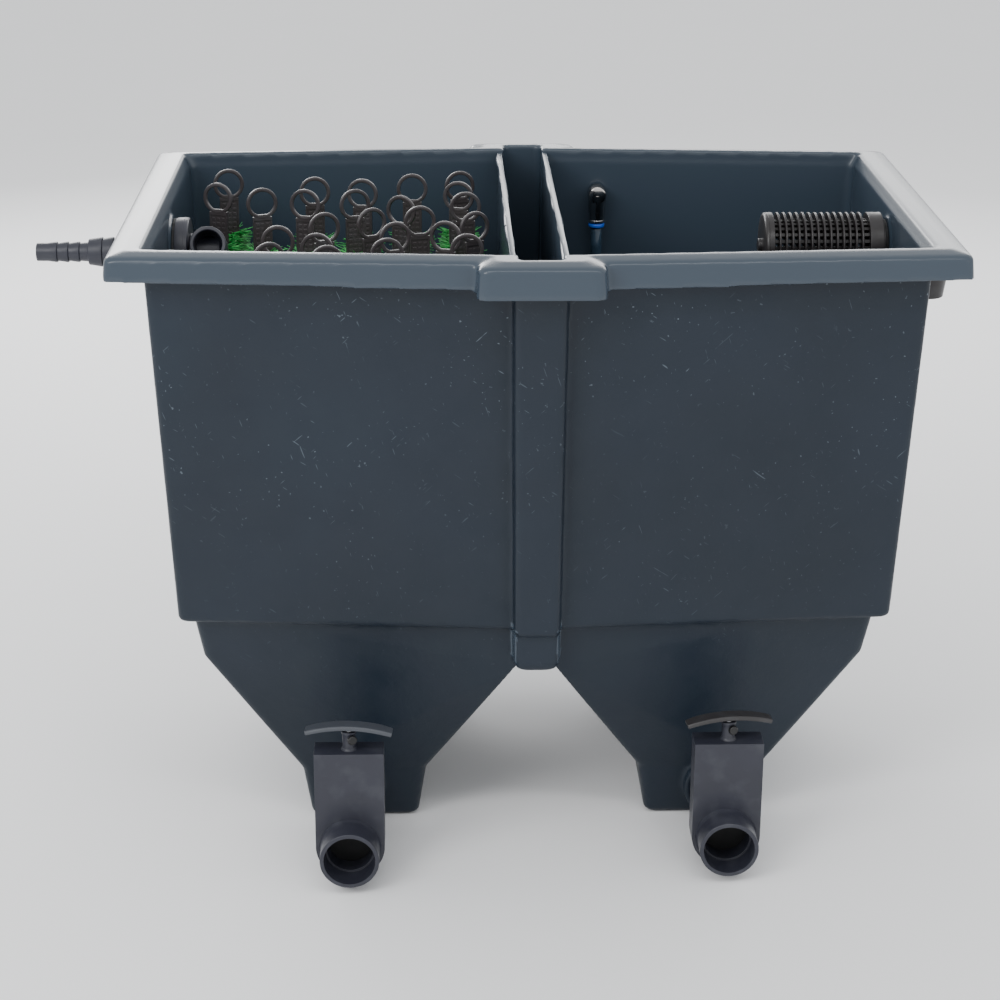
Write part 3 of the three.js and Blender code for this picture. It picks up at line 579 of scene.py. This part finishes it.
# ------------------------------------------------------------------ brushes
def ring_handle(bm):
    """The moulded ring with its tag, in the brush's own frame: z = 0 at the rim, x along the tag."""
    turn_profile(
        bm,
        "y",
        mm(0, 0, -22),
        [
            (-2.2, 16.2), (-1.4, 15.7), (1.4, 15.7), (2.2, 16.2), (2.5, 18.0), (2.2, 19.9), (1.3, 20.5), (-1.3, 20.5),
            (-2.2, 19.9), (-2.5, 18.0),
        ],
        40,
    )
    plate = add_block(bm, mm(-12.5, -1.3, -96), mm(12.5, 1.3, -40.5))
    round_corners(bm, plate, 0.003)
    for low, high in (
        ((-12.5, -2.2, -44.5), (12.5, 2.2, -39.6)),
        ((-12.5, -2.0, -96), (-10.6, 2.0, -44)),
        ((10.6, -2.0, -96), (12.5, 2.0, -44)),
        ((-7.5, -2.2, -41), (7.5, 2.2, -36.5)),
    ):
        add_block(bm, mm(*low), mm(*high))
    for row in range(7):
        for column in range(3):
            x = -6.6 + column * 6.6
            z = -49.5 - row * 6.4
            stud = ((x - 2.3, -1.75, z - 2.0), (x + 2.3, 1.75, z + 2.0))
            add_block(bm, mm(*stud[0]), mm(*stud[1]))


def filament_tuft(seed, count):
    """A mesh of filaments that spring out of the spine round one short length of it."""
    chance = random.Random(seed)
    bm = bmesh.new()
    for _ in range(count):
        angle = chance.uniform(0, 2 * math.pi)
        reach = chance.uniform(0.021, 0.0275)
        rise = chance.gauss(0.001, 0.0025)
        sag = chance.uniform(-0.003, 0.002)
        side = chance.uniform(-0.003, 0.003)
        out = Vector((math.cos(angle), math.sin(angle), 0))
        start = out * 0.001 + Vector((0, 0, chance.uniform(-0.006, 0.006)))
        across = Vector((-out.y, out.x, 0))
        middle = start + out * reach * 0.55 + Vector((0, 0, rise))
        tip = start + out * reach + across * side + Vector((0, 0, rise + sag))
        sweep(bm, [start, middle, tip], [0.0005, 0.00048, 0.0003], 3)
    return mesh_of(bm, "tuft")


def crown_blades(seed, count):
    """Loose thick filaments over the top of a brush, nearly straight and rising a little."""
    chance = random.Random(seed)
    bm = bmesh.new()
    for _ in range(count):
        angle = chance.uniform(0, 2 * math.pi)
        out = Vector((math.cos(angle), math.sin(angle), 0))
        across = Vector((-out.y, out.x, 0))
        start = out * 0.001 + across * chance.uniform(-0.009, 0.009) + Vector((0, 0, chance.uniform(-0.097, -0.089)))
        reach = chance.uniform(0.014, BLADE_REACH)
        height = chance.triangular(-0.003, 0.014, 0.001)
        bow = across * chance.uniform(-0.0025, 0.0025)
        route = []
        for share in (0, 0.5, 1):
            point = start + out * reach * share + bow * share * share + Vector((0, 0, height * share ** 0.8))
            flat = Vector((point.x, point.y, 0))
            if flat.length > BLADE_REACH:
                point -= flat * (1 - BLADE_REACH / flat.length)
            route.append(point)
        sweep(bm, route, [0.00075, 0.00075, 0.0004], 4)
    return mesh_of(bm, "crown")


def stamp(bm, mesh, matrix):
    """Adds a copy of a mesh, moved by a matrix."""
    known = len(bm.verts)
    bm.from_mesh(mesh)
    bm.verts.ensure_lookup_table()
    bmesh.ops.transform(bm, matrix=matrix, verts=bm.verts[known:])


def bristle_master(filaments):
    """All the filaments of one brush, thickest near its visible top."""
    bm = bmesh.new()
    tufts = [filament_tuft(seed, 50) for seed in range(6)]
    chance = random.Random(7)
    count = max(1, filaments // 50)
    for step in range(count):
        share = step / count
        z = -0.097 - 0.349 * share ** 1.35
        stamp(bm, tufts[step % 6], Matrix.Translation((0, 0, z)) @ Matrix.Rotation(chance.uniform(0, 6.28), 4, "Z"))
    stamp(bm, crown_blades(11, 130), Matrix.Identity(4))
    bmesh.ops.recalc_face_normals(bm, faces=bm.faces)
    return mesh_of(bm, "bristle_master")


def brush_place(node):
    """Where a brush stands: its middle and the turn of its tag, taken from the outer parts of its ring."""
    low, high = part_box(node)
    centre = Vector(((low[0] + high[0]) / 2, (low[1] + high[1]) / 2, RIM.z))
    ring = [(vert.co - centre).xy for vert in NODES[node].data.vertices if vert.co.z > RIM.z - 0.030]
    rim = [point for point in ring if point.length > 0.0195]
    side = sum((point * (1 if point.x > 0 else -1) for point in rim), Vector((0, 0)))
    return centre, math.atan2(side.y, side.x)


class FILTER_OT_brushes(bpy.types.Operator):
    """Build the lift-out filter brushes"""

    bl_idname = "filter.brushes"
    bl_label = "Brushes"

    def execute(self, context):
        bristles = bristle_master(context.scene.filter_brush.filaments)
        for number, node in enumerate(BRUSH_NAMES):
            centre, turn = brush_place(node)
            place = Matrix.Translation(centre) @ Matrix.Rotation(turn, 4, "Z")
            bm = bmesh.new()
            ring_handle(bm)
            bmesh.ops.transform(bm, matrix=place, verts=bm.verts)
            add_piece(bm, node + "_handle", node, [node], ["handle_plastic"], edge=0.0005)
            bm = bmesh.new()
            for strand in (0, math.pi):
                route = []
                for step in range(0, 91):
                    angle = strand + step * 0.75
                    around = Vector((0.0011 * math.cos(angle), 0.0011 * math.sin(angle), 0))
                    route.append(around + Vector((0, 0, -0.09 - 0.363 * step / 90)))
                sweep(bm, route, 0.0011, 6)
            bmesh.ops.transform(bm, matrix=place, verts=bm.verts)
            add_piece(bm, node + "_spine", node, (), ["wire"])
            bm = bmesh.new()
            bm.from_mesh(bristles)
            spun = place @ Matrix.Rotation(number * 2.4, 4, "Z")
            bmesh.ops.transform(bm, matrix=spun, verts=bm.verts)
            add_piece(bm, node + "_bristles", node, (), ["bristles"], smooth=False)
        return {"FINISHED"}


# ------------------------------------------------------------------ slide valves
def bore_centre(side):
    """The middle of a valve: on the bore's axis, in the gate's plane."""
    low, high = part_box(side + "_valve_body")
    return Vector(((low[0] + high[0]) / 2, low[1] + 0.0535, low[2] + 0.042))


def bored_housing(bm, centre, steps):
    """The housing of a valve: straight sides and a flat top over a half-round foot, bored through."""
    corner = math.atan2(CAP_TOP, HOUSING_HALF)
    angles = sorted({2 * math.pi * step / steps for step in range(steps)} | {corner, math.pi - corner})
    rings = []
    for angle in angles:
        across, rise = math.cos(angle), math.sin(angle)
        reach = HOUSING_HALF if rise < 1e-6 else min(HOUSING_HALF / max(abs(across), 1e-6), CAP_TOP / rise)
        outline = ((BORE, -HOUSING_FACE), (reach, -HOUSING_FACE), (reach, HOUSING_FACE), (BORE, HOUSING_FACE))
        rings.append([bm.verts.new(centre + mm(radius * across, y, radius * rise)) for radius, y in outline])
    faces = []
    for first, second in zip(rings, rings[1:] + rings[:1]):
        for i in range(4):
            j = (i + 1) % 4
            faces.append(bm.faces.new((first[i], first[j], second[j], second[i])))
    bmesh.ops.recalc_face_normals(bm, faces=faces)


def valve_shell(centre, steps):
    """The moulded housing with its bore, front socket, rear socket and the gland on top."""
    bm = bmesh.new()
    bored_housing(bm, centre, steps)
    front = [
        (-53.5, 31), (-53.5, 35.3), (-52.8, 36), (-23, 36), (-20, 36.5), (-16, 38.6), (-10, 38.6), (-10, BORE),
        (-20, BORE), (-23.5, 28.2), (-23.5, 30.4),
    ]
    turn_profile(bm, "y", centre, front, steps)
    rear = [
        (17, BORE), (17, 39.5), (19, 37.2), (22, 36), (46.6, 36), (47.5, 35), (47.5, 30.6), (21.5, 30.6),
        (21.5, BORE),
    ]
    turn_profile(bm, "y", centre, rear, steps)
    gland = [
        (124, 4.4), (124, 10.2), (125.4, 10), (126.4, 8.8), (128, 8.1), (142.5, 8.0), (145, 8.6), (146.4, 9.2),
        (148.4, 9.2), (149, 8.6), (149, 4.4),
    ]
    turn_profile(bm, "z", centre, gland, steps)
    return bm


def clamp_screw(centre):
    bm = bmesh.new()
    turn_profile(
        bm,
        "y",
        Vector((0, 0, 0)),
        [(-14.6, 0), (-14.6, 4.9), (-13.8, 5.6), (-10.0, 5.6), (-9.2, 4.9), (-9.2, 2.2), (-5, 2.2), (-5, 0)],
        32,
        False,
    )
    for turn in range(12):
        rib = add_block(bm, mm(-0.5, -13.6, 5.2), mm(0.5, -10.2, 5.9))
        bmesh.ops.rotate(bm, cent=(0, 0, 0), matrix=Matrix.Rotation(turn * math.pi / 6, 3, "Y"), verts=rib)
    matrix = Matrix.Translation(centre + mm(0, 0, SCREW_HEIGHT)) @ Matrix.Rotation(SCREW_TURN, 4, "Z")
    bmesh.ops.transform(bm, matrix=matrix, verts=bm.verts)
    return bm


def pull_handle(centre, turn, steps):
    """An arched bar with blunt ends and a hub, made along X and then turned about the stem."""
    bm = bmesh.new()
    reach, arch, thick, deep = 51.5, 7.5, 6.2, 10
    radius = (reach * reach + arch * arch) / (2 * arch)
    sweep_angle = math.asin(reach / radius)
    sections = []
    count = 28
    for i in range(count + 1):
        angle = -sweep_angle + 2 * sweep_angle * i / count
        along = abs(-1 + 2 * i / count)
        half = deep * (1 - 0.12 * along ** 6)
        height = thick * (1 - 0.1 * along ** 6)
        x, z = radius * math.sin(angle), HANDLE_UNDERSIDE - radius + radius * math.cos(angle)
        corners = [
            (-half, 0.9), (-half + 1.4, 0), (half - 1.4, 0), (half, 0.9), (half, height - 1.8),
            (half - 1.8, height - 0.3), (0, height), (-half + 1.8, height - 0.3), (-half, height - 1.8),
        ]
        up = Vector((math.sin(angle), 0, math.cos(angle)))
        sections.append([bm.verts.new(mm(x, y, z) + up * (rise / 1000)) for y, rise in corners])
    for first, second in zip(sections, sections[1:]):
        size = len(first)
        for i in range(size):
            j = (i + 1) % size
            bm.faces.new((first[i], first[j], second[j], second[i]))
    bm.faces.new(sections[0])
    bm.faces.new(reversed(sections[-1]))
    bmesh.ops.recalc_face_normals(bm, faces=bm.faces)
    hub = [(150.2, 4.3), (150.2, 6.2), (150.8, 6.6), (152.4, 7), (155, 7.6), (155, 4.3)]
    turn_profile(bm, "z", Vector((0, 0, 0)), hub, steps)
    matrix = Matrix.Translation(centre) @ Matrix.Rotation(turn, 4, "Z")
    bmesh.ops.transform(bm, matrix=matrix, verts=bm.verts)
    return bm


def handle_turn(node, centre):
    """How far the CAD handle's bar is turned from the X axis."""
    far = max(NODES[node].data.vertices, key=lambda vert: (vert.co - centre).xy.length)
    across = [vert.co for vert in NODES[node].data.vertices if (vert.co - far.co).length < 0.024]
    end = sum(across, Vector((0, 0, 0))) / len(across) - centre
    return math.atan(end.y / end.x)


class FILTER_OT_valves(bpy.types.Operator):
    """Build both slide valves with their handles"""

    bl_idname = "filter.valves"
    bl_label = "Slide valves"

    def execute(self, context):
        edge = context.scene.filter_valve.edge
        steps = context.scene.filter_fitting.steps
        for side in VALVE_SIDES:
            centre = bore_centre(side)
            body = side + "_slide"
            housing = [side + "_valve_body", side + "_valve_cap"]
            add_piece(valve_shell(centre, steps), side + "_valve_shell", "root", housing, ["valve_plastic"],
                      edge=edge)
            add_piece(clamp_screw(centre), side + "_clamp_screw", "root", [side + "_lock_screw"],
                      ["screw_plastic"], edge=0.0004)
            handle = side + "_gate_handle"
            turn = handle_turn(handle, centre)
            bm = pull_handle(centre, turn, 40)
            add_piece(bm, side + "_pull_handle", body, [handle], [side + "_handle_plastic"], edge=0.0006)
            add_piece(merged_copy(side + "_gate"), side + "_gate_plate", body, [side + "_gate"],
                      ["gate_plastic"], edge=0.0006)
            bm = bmesh.new()
            turn_profile(bm, "z", centre, [(45.4, 0), (45.4, 4), (150.7, 4), (151.4, 3.4), (151.4, 0)], 32, False)
            add_piece(bm, side + "_stem_rod", body, [side + "_gate_stem"], ["stem_steel"])
            bm = bmesh.new()
            turn_profile(bm, "y", centre, [(-4.7, 28), (-4.7, 31.2), (-2.5, 31.2), (-2.5, 28)], steps)
            add_piece(bm, side + "_seal_ring", "root", [side + "_valve_seal"], ["seal_rubber"])
            low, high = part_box(side + "_waste_pipe")
            bm = bmesh.new()
            middle = Vector((centre.x, 0, centre.z))
            ends = low[1] * 1000, high[1] * 1000
            turn_profile(bm, "y", middle, [(ends[0], 27), (ends[0], 30), (ends[1], 30), (ends[1], 27)], steps)
            add_piece(bm, side + "_waste_tube", "root", [side + "_waste_pipe"], ["valve_plastic"], edge=0.0005)
        return {"FINISHED"}


# ------------------------------------------------------------------ inlet and outlet
def line_of(node):
    """The axis of a turned fitting that lies along X, as a point with x = 0."""
    low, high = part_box(node)
    return Vector((0, (low[1] + high[1]) / 2, (low[2] + high[2]) / 2))


class FILTER_OT_inlet(bpy.types.Operator):
    """Build the inlet: hose tail, nut, connector and turning elbow"""

    bl_idname = "filter.inlet"
    bl_label = "Inlet"

    def execute(self, context):
        steps = context.scene.filter_fitting.steps
        axis = line_of("inlet_connector")
        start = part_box("inlet_hose_tail")[1][0] * 1000
        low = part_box("inlet_hose_tail")[0][0] * 1000
        outside = [(start, 14), (start, 24.2), (start - 1, 25)]
        outside += [(start - 9.5, 25), (start - 10.8, 23.8), (start - 11, 18.4)]
        for i in range(4):
            at = start - 17 - i * 14
            outside += [(at, 16.9), (at - 0.6, 18.5), (at - 2.2, 18.7), (at - 12.5, 17.0)]
        outside += [(start - 76.4, 16.4), (start - 77.2, 15.6), (start - 77.6, 12.2)]
        for i in range(3):
            at = start - 88 - i * 14
            outside += [(at, 11.4), (at - 0.6, 12.8), (at - 2, 13), (at - 12, 11.5)]
        outside += [(low + 0.8, 11.3), (low, 10.6), (low, 8.9), (low + 1, 8.5), (low + 60, 8.5), (low + 72, 14)]
        bm = bmesh.new()
        turn_profile(bm, "x", axis, outside, steps)
        add_piece(bm, "inlet_tail", "root", ["inlet_hose_tail"], ["valve_plastic"], edge=0.0004)
        add_piece(wall_nut("inlet_nut", axis, steps), "inlet_ring_nut", "root", ["inlet_nut"],
                  ["valve_plastic"], edge=0.0005)
        conn_low, conn_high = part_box("inlet_connector")
        face, back = conn_high[0] * 1000, conn_low[0] * 1000
        profile = [
            (face, 21), (face, 41.5), (face - 1.6, 43), (face - 13, 43), (face - 17, 42), (face - 17, 27.7),
            (back, 27.7), (back, 21),
        ]
        bm = bmesh.new()
        turn_profile(bm, "x", axis, profile, steps)
        turn_profile(bm, "x", axis, [(face - 4, 42.6), (face - 4, 43.3), (face - 6, 43.3), (face - 6, 42.6)], steps)
        add_piece(bm, "inlet_flange", "root", ["inlet_connector"], ["valve_plastic"], edge=0.0007)
        self.elbow(axis, face, steps)
        return {"FINISHED"}

    def elbow(self, axis, face, steps):
        """The socket elbow, made mouth towards -Y and then lifted about the inlet's axis."""
        bm = bmesh.new()
        turn = Vector((RIM.x - 0.403, axis.y, axis.z))
        back = face + 0.3 - turn.x * 1000
        turn_profile(
            bm,
            "x",
            turn,
            [(back, 17.5), (back, 22.4), (6, 22.7), (12, 22), (16, 18), (17.5, 10), (17.6, 0), (5, 0), (5, 17.5)],
            steps,
            False,
        )
        mouth = [
            (6, 16), (6, 20.5), (0, 21.6), (-18, 21.6), (-21, 22.7), (-49, 22.7), (-50, 21.8), (-50, 18.6),
            (-49, 17.6), (-24, 17.6), (-22, 16),
        ]
        turn_profile(bm, "y", turn, mouth, steps)
        lift = math.radians(-25)
        bmesh.ops.rotate(bm, cent=turn, matrix=Matrix.Rotation(lift, 3, "X"), verts=bm.verts)
        add_piece(bm, "inlet_bend", "inlet_elbow", ["inlet_elbow"], ["valve_plastic"], edge=0.0006)


def wall_nut(node, axis, steps):
    """A backing ring with eight grip lugs."""
    low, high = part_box(node)
    start, end = low[0] * 1000, high[0] * 1000
    bm = bmesh.new()
    turn_profile(bm, "x", axis, [(start, 28.3), (start, 34), (end - 1, 34), (end, 33), (end, 28.3)], steps)
    for i in range(8):
        lug = add_block(bm, axis + mm(start, -4.5, 32), axis + mm(end - 0.8, 4.5, 36.7))
        spin = Matrix.Rotation(i * math.pi / 4, 3, "X")
        bmesh.ops.rotate(bm, cent=axis, matrix=spin, verts=lug)
    return bm


class FILTER_OT_outlet(bpy.types.Operator):
    """Build the outlet: finned strainer, connector, nut and down-turned elbow"""

    bl_idname = "filter.outlet"
    bl_label = "Outlet"

    def execute(self, context):
        steps = context.scene.filter_fitting.steps
        axis = line_of("outlet_connector")
        low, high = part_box("outlet_strainer")
        self.strainer(axis, low[0] * 1000 + 5, high[0] * 1000, steps)
        conn_low, conn_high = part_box("outlet_connector")
        first, last = conn_low[0] * 1000, conn_high[0] * 1000
        profile = [(first, 21), (first, 23.4), (first + 0.6, 23.8), (first + 16.3, 23.8), (first + 16.3, 32.2),
                   (first + 17.3, 33), (first + 19, 33), (first + 19, 27.7), (last, 27.7), (last, 21)]
        bm = bmesh.new()
        turn_profile(bm, "x", axis, profile, steps)
        add_piece(bm, "outlet_hub", "root", ["outlet_connector"], ["strainer_plastic"], edge=0.0006)
        add_piece(wall_nut("outlet_nut", axis, steps), "outlet_ring_nut", "root", ["outlet_nut"],
                  ["strainer_plastic"], edge=0.0005)
        self.bend(axis)
        return {"FINISHED"}

    def strainer(self, axis, start, end, steps):
        bm = bmesh.new()
        cap = [
            (start - 5, 0), (start - 5, 8.4), (start - 4.4, 9), (start, 9.2), (start, 37), (start + 0.5, 39.4),
            (start + 2, 41.2), (start + 4, 42), (start + 5, 42), (start + 5.4, 41.4), (start + 5.8, 42),
            (start + 11.4, 42), (start + 12, 41.4), (start + 12, 34), (start + 12, 0),
        ]
        turn_profile(bm, "x", axis, cap, steps, False)
        for i in range(14):
            at = start + 17 + i * 8
            fin = [(at, 32), (at + 0.3, 41.3), (at + 0.8, 42), (at + 2.6, 42), (at + 3.1, 41.3), (at + 3.4, 32)]
            turn_profile(bm, "x", axis, fin, steps)
        tail = [
            (end - 18, 30), (end - 18, 41.3), (end - 17.3, 42), (end - 0.8, 42), (end, 41.2), (end, 24.4),
            (end - 18, 24.4),
        ]
        turn_profile(bm, "x", axis, tail, steps)
        for i in range(24):
            rib = add_block(bm, axis + mm(start + 11, -2.2, 28), axis + mm(end - 17, 2.2, 33.5))
            bmesh.ops.rotate(bm, cent=axis, matrix=Matrix.Rotation((i + 0.5) * math.pi / 12, 3, "X"), verts=rib)
        add_piece(bm, "finned_strainer", "strainer", ["outlet_strainer"], ["strainer_plastic"], edge=0.0004)

    def bend(self, axis):
        low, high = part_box("outlet_elbow")
        start, foot = low[0], low[2]
        centre_x = RIM.x + 0.508
        turn = 0.023
        bm = bmesh.new()
        route = [Vector((start, axis.y, axis.z))]
        for i in range(13):
            angle = math.pi / 2 * i / 12
            x = centre_x - turn + turn * math.sin(angle)
            route.append(Vector((x, axis.y, axis.z - turn * (1 - math.cos(angle)))))
        route.append(Vector((centre_x, axis.y, axis.z - 0.028)))
        sweep(bm, route, 0.0242, 40)
        middle = Vector((centre_x, axis.y, foot))
        collar = [(0, 17), (0, 19.6), (0.6, 20.4), (30, 24.6), (31, 25.5), (42, 25.5), (43, 24.4), (43, 17)]
        turn_profile(bm, "z", middle, collar, 48)
        add_piece(bm, "outlet_bend", "root", ["outlet_elbow"], ["strainer_plastic"], edge=0.0005)


# ------------------------------------------------------------------ air feed
class FILTER_OT_air(bpy.types.Operator):
    """Build the air feed: push-in elbow, release collar, hose and diffuser"""

    bl_idname = "filter.air"
    bl_label = "Air feed"

    def execute(self, context):
        low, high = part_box("air_elbow")
        x = (low[0] + high[0]) / 2
        y = RIM.y + 0.262
        z = RIM.z - 0.054
        head = [
            (-12, 0), (-12, 9.6), (-11.2, 11.4), (-9, 12.5), (10.8, 12.5), (12.2, 11.8), (12.8, 10.4), (12.8, 8),
            (14.6, 8), (14.6, 0),
        ]
        leg = [(-38, 8), (-38, 10.4), (-37.2, 11), (-26, 11), (-24.5, 11.6), (-6, 12.3), (0, 12.3), (0, 8)]
        bm = bmesh.new()
        turn_profile(bm, "y", Vector((x, y, z)), head, 48, False)
        turn_profile(bm, "z", Vector((x, y, z)), leg, 48)
        turn_profile(bm, "z", Vector((x, y, z)), [(-38.4, 8), (-38.4, 11.5), (-35, 11.5), (-35, 8)], 48, slot=1)
        add_piece(bm, "air_push_elbow", "root", ["air_elbow"], ["nickel", "chrome_ring"], edge=0.0006)
        low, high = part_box("air_release_collar")
        bm = bmesh.new()
        top = (high[2] - z) * 1000
        collar = [(top, 8), (top, 9.6), (top - 0.9, 10.9), (top - 4.6, 11), (top - 5.5, 10.2), (top - 5.5, 8)]
        turn_profile(bm, "z", Vector((x, y, z)), collar, 48)
        add_piece(bm, "release_ring", "air_collar", ["air_release_collar"], ["collar_plastic"])
        self.hose(x, y)
        bm = merged_copy("air_bulkhead")
        add_piece(bm, "air_wall_fitting", "root", ["air_bulkhead"], ["nickel"], edge=0.0006)
        bm = merged_copy("air_diffuser")
        add_piece(bm, "diffuser_stone", "root", ["air_diffuser"], ["sintered_stone"], edge=0.0015)
        return {"FINISHED"}

    def hose(self, x, y):
        """The clear hose on the same route as its CAD node, with its lower end inside the diffuser's nipple."""
        low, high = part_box("air_tube")
        foot = low[2] + 0.0077
        turn = 0.055
        route = [Vector((x, y, high[2]))]
        for i in range(1, 6):
            route.append(Vector((x, y, high[2] + (foot + turn - high[2]) * i / 5)))
        for i in range(1, 13):
            angle = math.pi / 2 * i / 12
            route.append(Vector((x, y - turn * (1 - math.cos(angle)), foot + turn - turn * math.sin(angle))))
        route.append(Vector((x, low[1] + 0.001, foot)))
        bm = bmesh.new()
        sweep(bm, route, 0.0076, 24)
        add_piece(bm, "air_hose", "root", ["air_tube"], ["clear_tube"])


class FILTER_OT_hidden(bpy.types.Operator):
    """Finish the slatted floors and the wall gaskets"""

    bl_idname = "filter.hidden"
    bl_label = "Floors and gaskets"

    def execute(self, context):
        for node in ("brush_grid", "media_grid"):
            add_piece(merged_copy(node), node + "_slats", "root", [node], ["grid_plastic"], edge=0.0012)
        for node in ("inlet_gasket", "outlet_gasket"):
            NODES[node].data.materials.clear()
            NODES[node].data.materials.append(finish("seal_rubber"))
        return {"FINISHED"}


# ------------------------------------------------------------------ stage
def add_light(name, place, target, size, power):
    lamp = bpy.data.lights.new(name, "AREA")
    lamp.shape = "RECTANGLE"
    lamp.size, lamp.size_y = size
    lamp.energy = power
    made = bpy.data.objects.new(name, lamp)
    made.location = place
    made.rotation_euler = (Vector(target) - Vector(place)).to_track_quat("-Z", "Y").to_euler()
    bpy.context.scene.collection.objects.link(made)
    return made


class FILTER_OT_stage(bpy.types.Operator):
    """Set the pale floor, the studio lights and the camera"""

    bl_idname = "filter.stage"
    bl_label = "Stage"

    def execute(self, context):
        settings = context.scene.filter_stage
        floor = bpy.data.meshes.new("floor")
        bm = bmesh.new()
        bmesh.ops.create_grid(bm, x_segments=1, y_segments=1, size=settings.floor)
        bm.to_mesh(floor)
        bm.free()
        made = material("floor_paper", (0.95, 0.95, 0.955), 0.85)
        connect(made, blend_colour(made, noise(made, 2, 2), (0.94, 0.94, 0.945), (0.96, 0.96, 0.965)), "Base Color")
        floor.materials.append(made)
        ground = bpy.data.objects.new("floor", floor)
        context.scene.collection.objects.link(ground)
        self.lights()
        self.camera(context, settings.lens)
        return {"FINISHED"}

    def lights(self):
        world = bpy.data.worlds.new("studio")
        world.use_nodes = True
        sky = world.node_tree.nodes["Background"]
        sky.inputs["Color"].default_value = (0.97, 0.985, 1, 1)
        sky.inputs["Strength"].default_value = 1.15
        bpy.context.scene.world = world
        aim = (0.04, 0, 0.6)
        add_light("key", (-2.2, -2.6, 2.6), aim, (1.8, 1.4), 55)
        add_light("fill", (2.6, -2.4, 1.6), aim, (1.6, 1.6), 4)
        add_light("strip", (0, -1.9, 3.1), aim, (3.0, 0.3), 20)
        add_light("back_left", (-1.2, 3.0, 1.6), aim, (1.8, 0.9), 46)
        add_light("back_right", (1.0, 3.0, 1.6), aim, (2.4, 0.9), 26)

    def camera(self, context, lens):
        eye = bpy.data.cameras.new("camera")
        eye.lens = lens
        eye.shift_y = -0.024
        made = bpy.data.objects.new("camera", eye)
        made.location = (-0.0775, -2.8639, 1.4377)
        turn = Euler((math.radians(90 - 19.834), 0, math.radians(-1.675)), "XYZ").to_matrix()
        roll = Matrix.Rotation(math.radians(0.267), 3, "Z")
        made.rotation_euler = (turn @ roll).to_euler()
        context.scene.collection.objects.link(made)
        context.scene.camera = made


OPERATORS = (
    FILTER_OT_tank,
    FILTER_OT_dividers,
    FILTER_OT_brushes,
    FILTER_OT_valves,
    FILTER_OT_inlet,
    FILTER_OT_outlet,
    FILTER_OT_air,
    FILTER_OT_hidden,
    FILTER_OT_stage,
)
SETTINGS = {
    "filter_tank": TankSettings,
    "filter_brush": BrushSettings,
    "filter_valve": ValveSettings,
    "filter_fitting": FittingSettings,
    "filter_stage": StageSettings,
}


class FILTER_PT_pieces(bpy.types.Panel):
    """Lists the settings and the pieces of the filter"""

    bl_idname = "FILTER_PT_pieces"
    bl_label = "Pond Filter"
    bl_space_type = "VIEW_3D"
    bl_region_type = "UI"
    bl_category = "Pond Filter"

    def draw(self, context):
        for name, group in SETTINGS.items():
            box = self.layout.box()
            for key in group.__annotations__:
                box.prop(getattr(context.scene, name), key)
        for operator in OPERATORS:
            self.layout.operator(operator.bl_idname)


def register():
    for group in (*SETTINGS.values(), *OPERATORS, FILTER_PT_pieces):
        bpy.utils.register_class(group)
    for name, group in SETTINGS.items():
        setattr(bpy.types.Scene, name, bpy.props.PointerProperty(type=group))


def unregister():
    for name in SETTINGS:
        delattr(bpy.types.Scene, name)
    for group in reversed((*SETTINGS.values(), *OPERATORS, FILTER_PT_pieces)):
        bpy.utils.unregister_class(group)


def main():
    register()
    bpy.ops.filter.stage()
    bpy.ops.filter.tank()
    bpy.ops.filter.dividers()
    bpy.ops.filter.brushes()
    bpy.ops.filter.valves()
    bpy.ops.filter.inlet()
    bpy.ops.filter.outlet()
    bpy.ops.filter.air()
    bpy.ops.filter.hidden()
    bpy.context.view_layer.update()


if __name__ == "__main__":
    main()
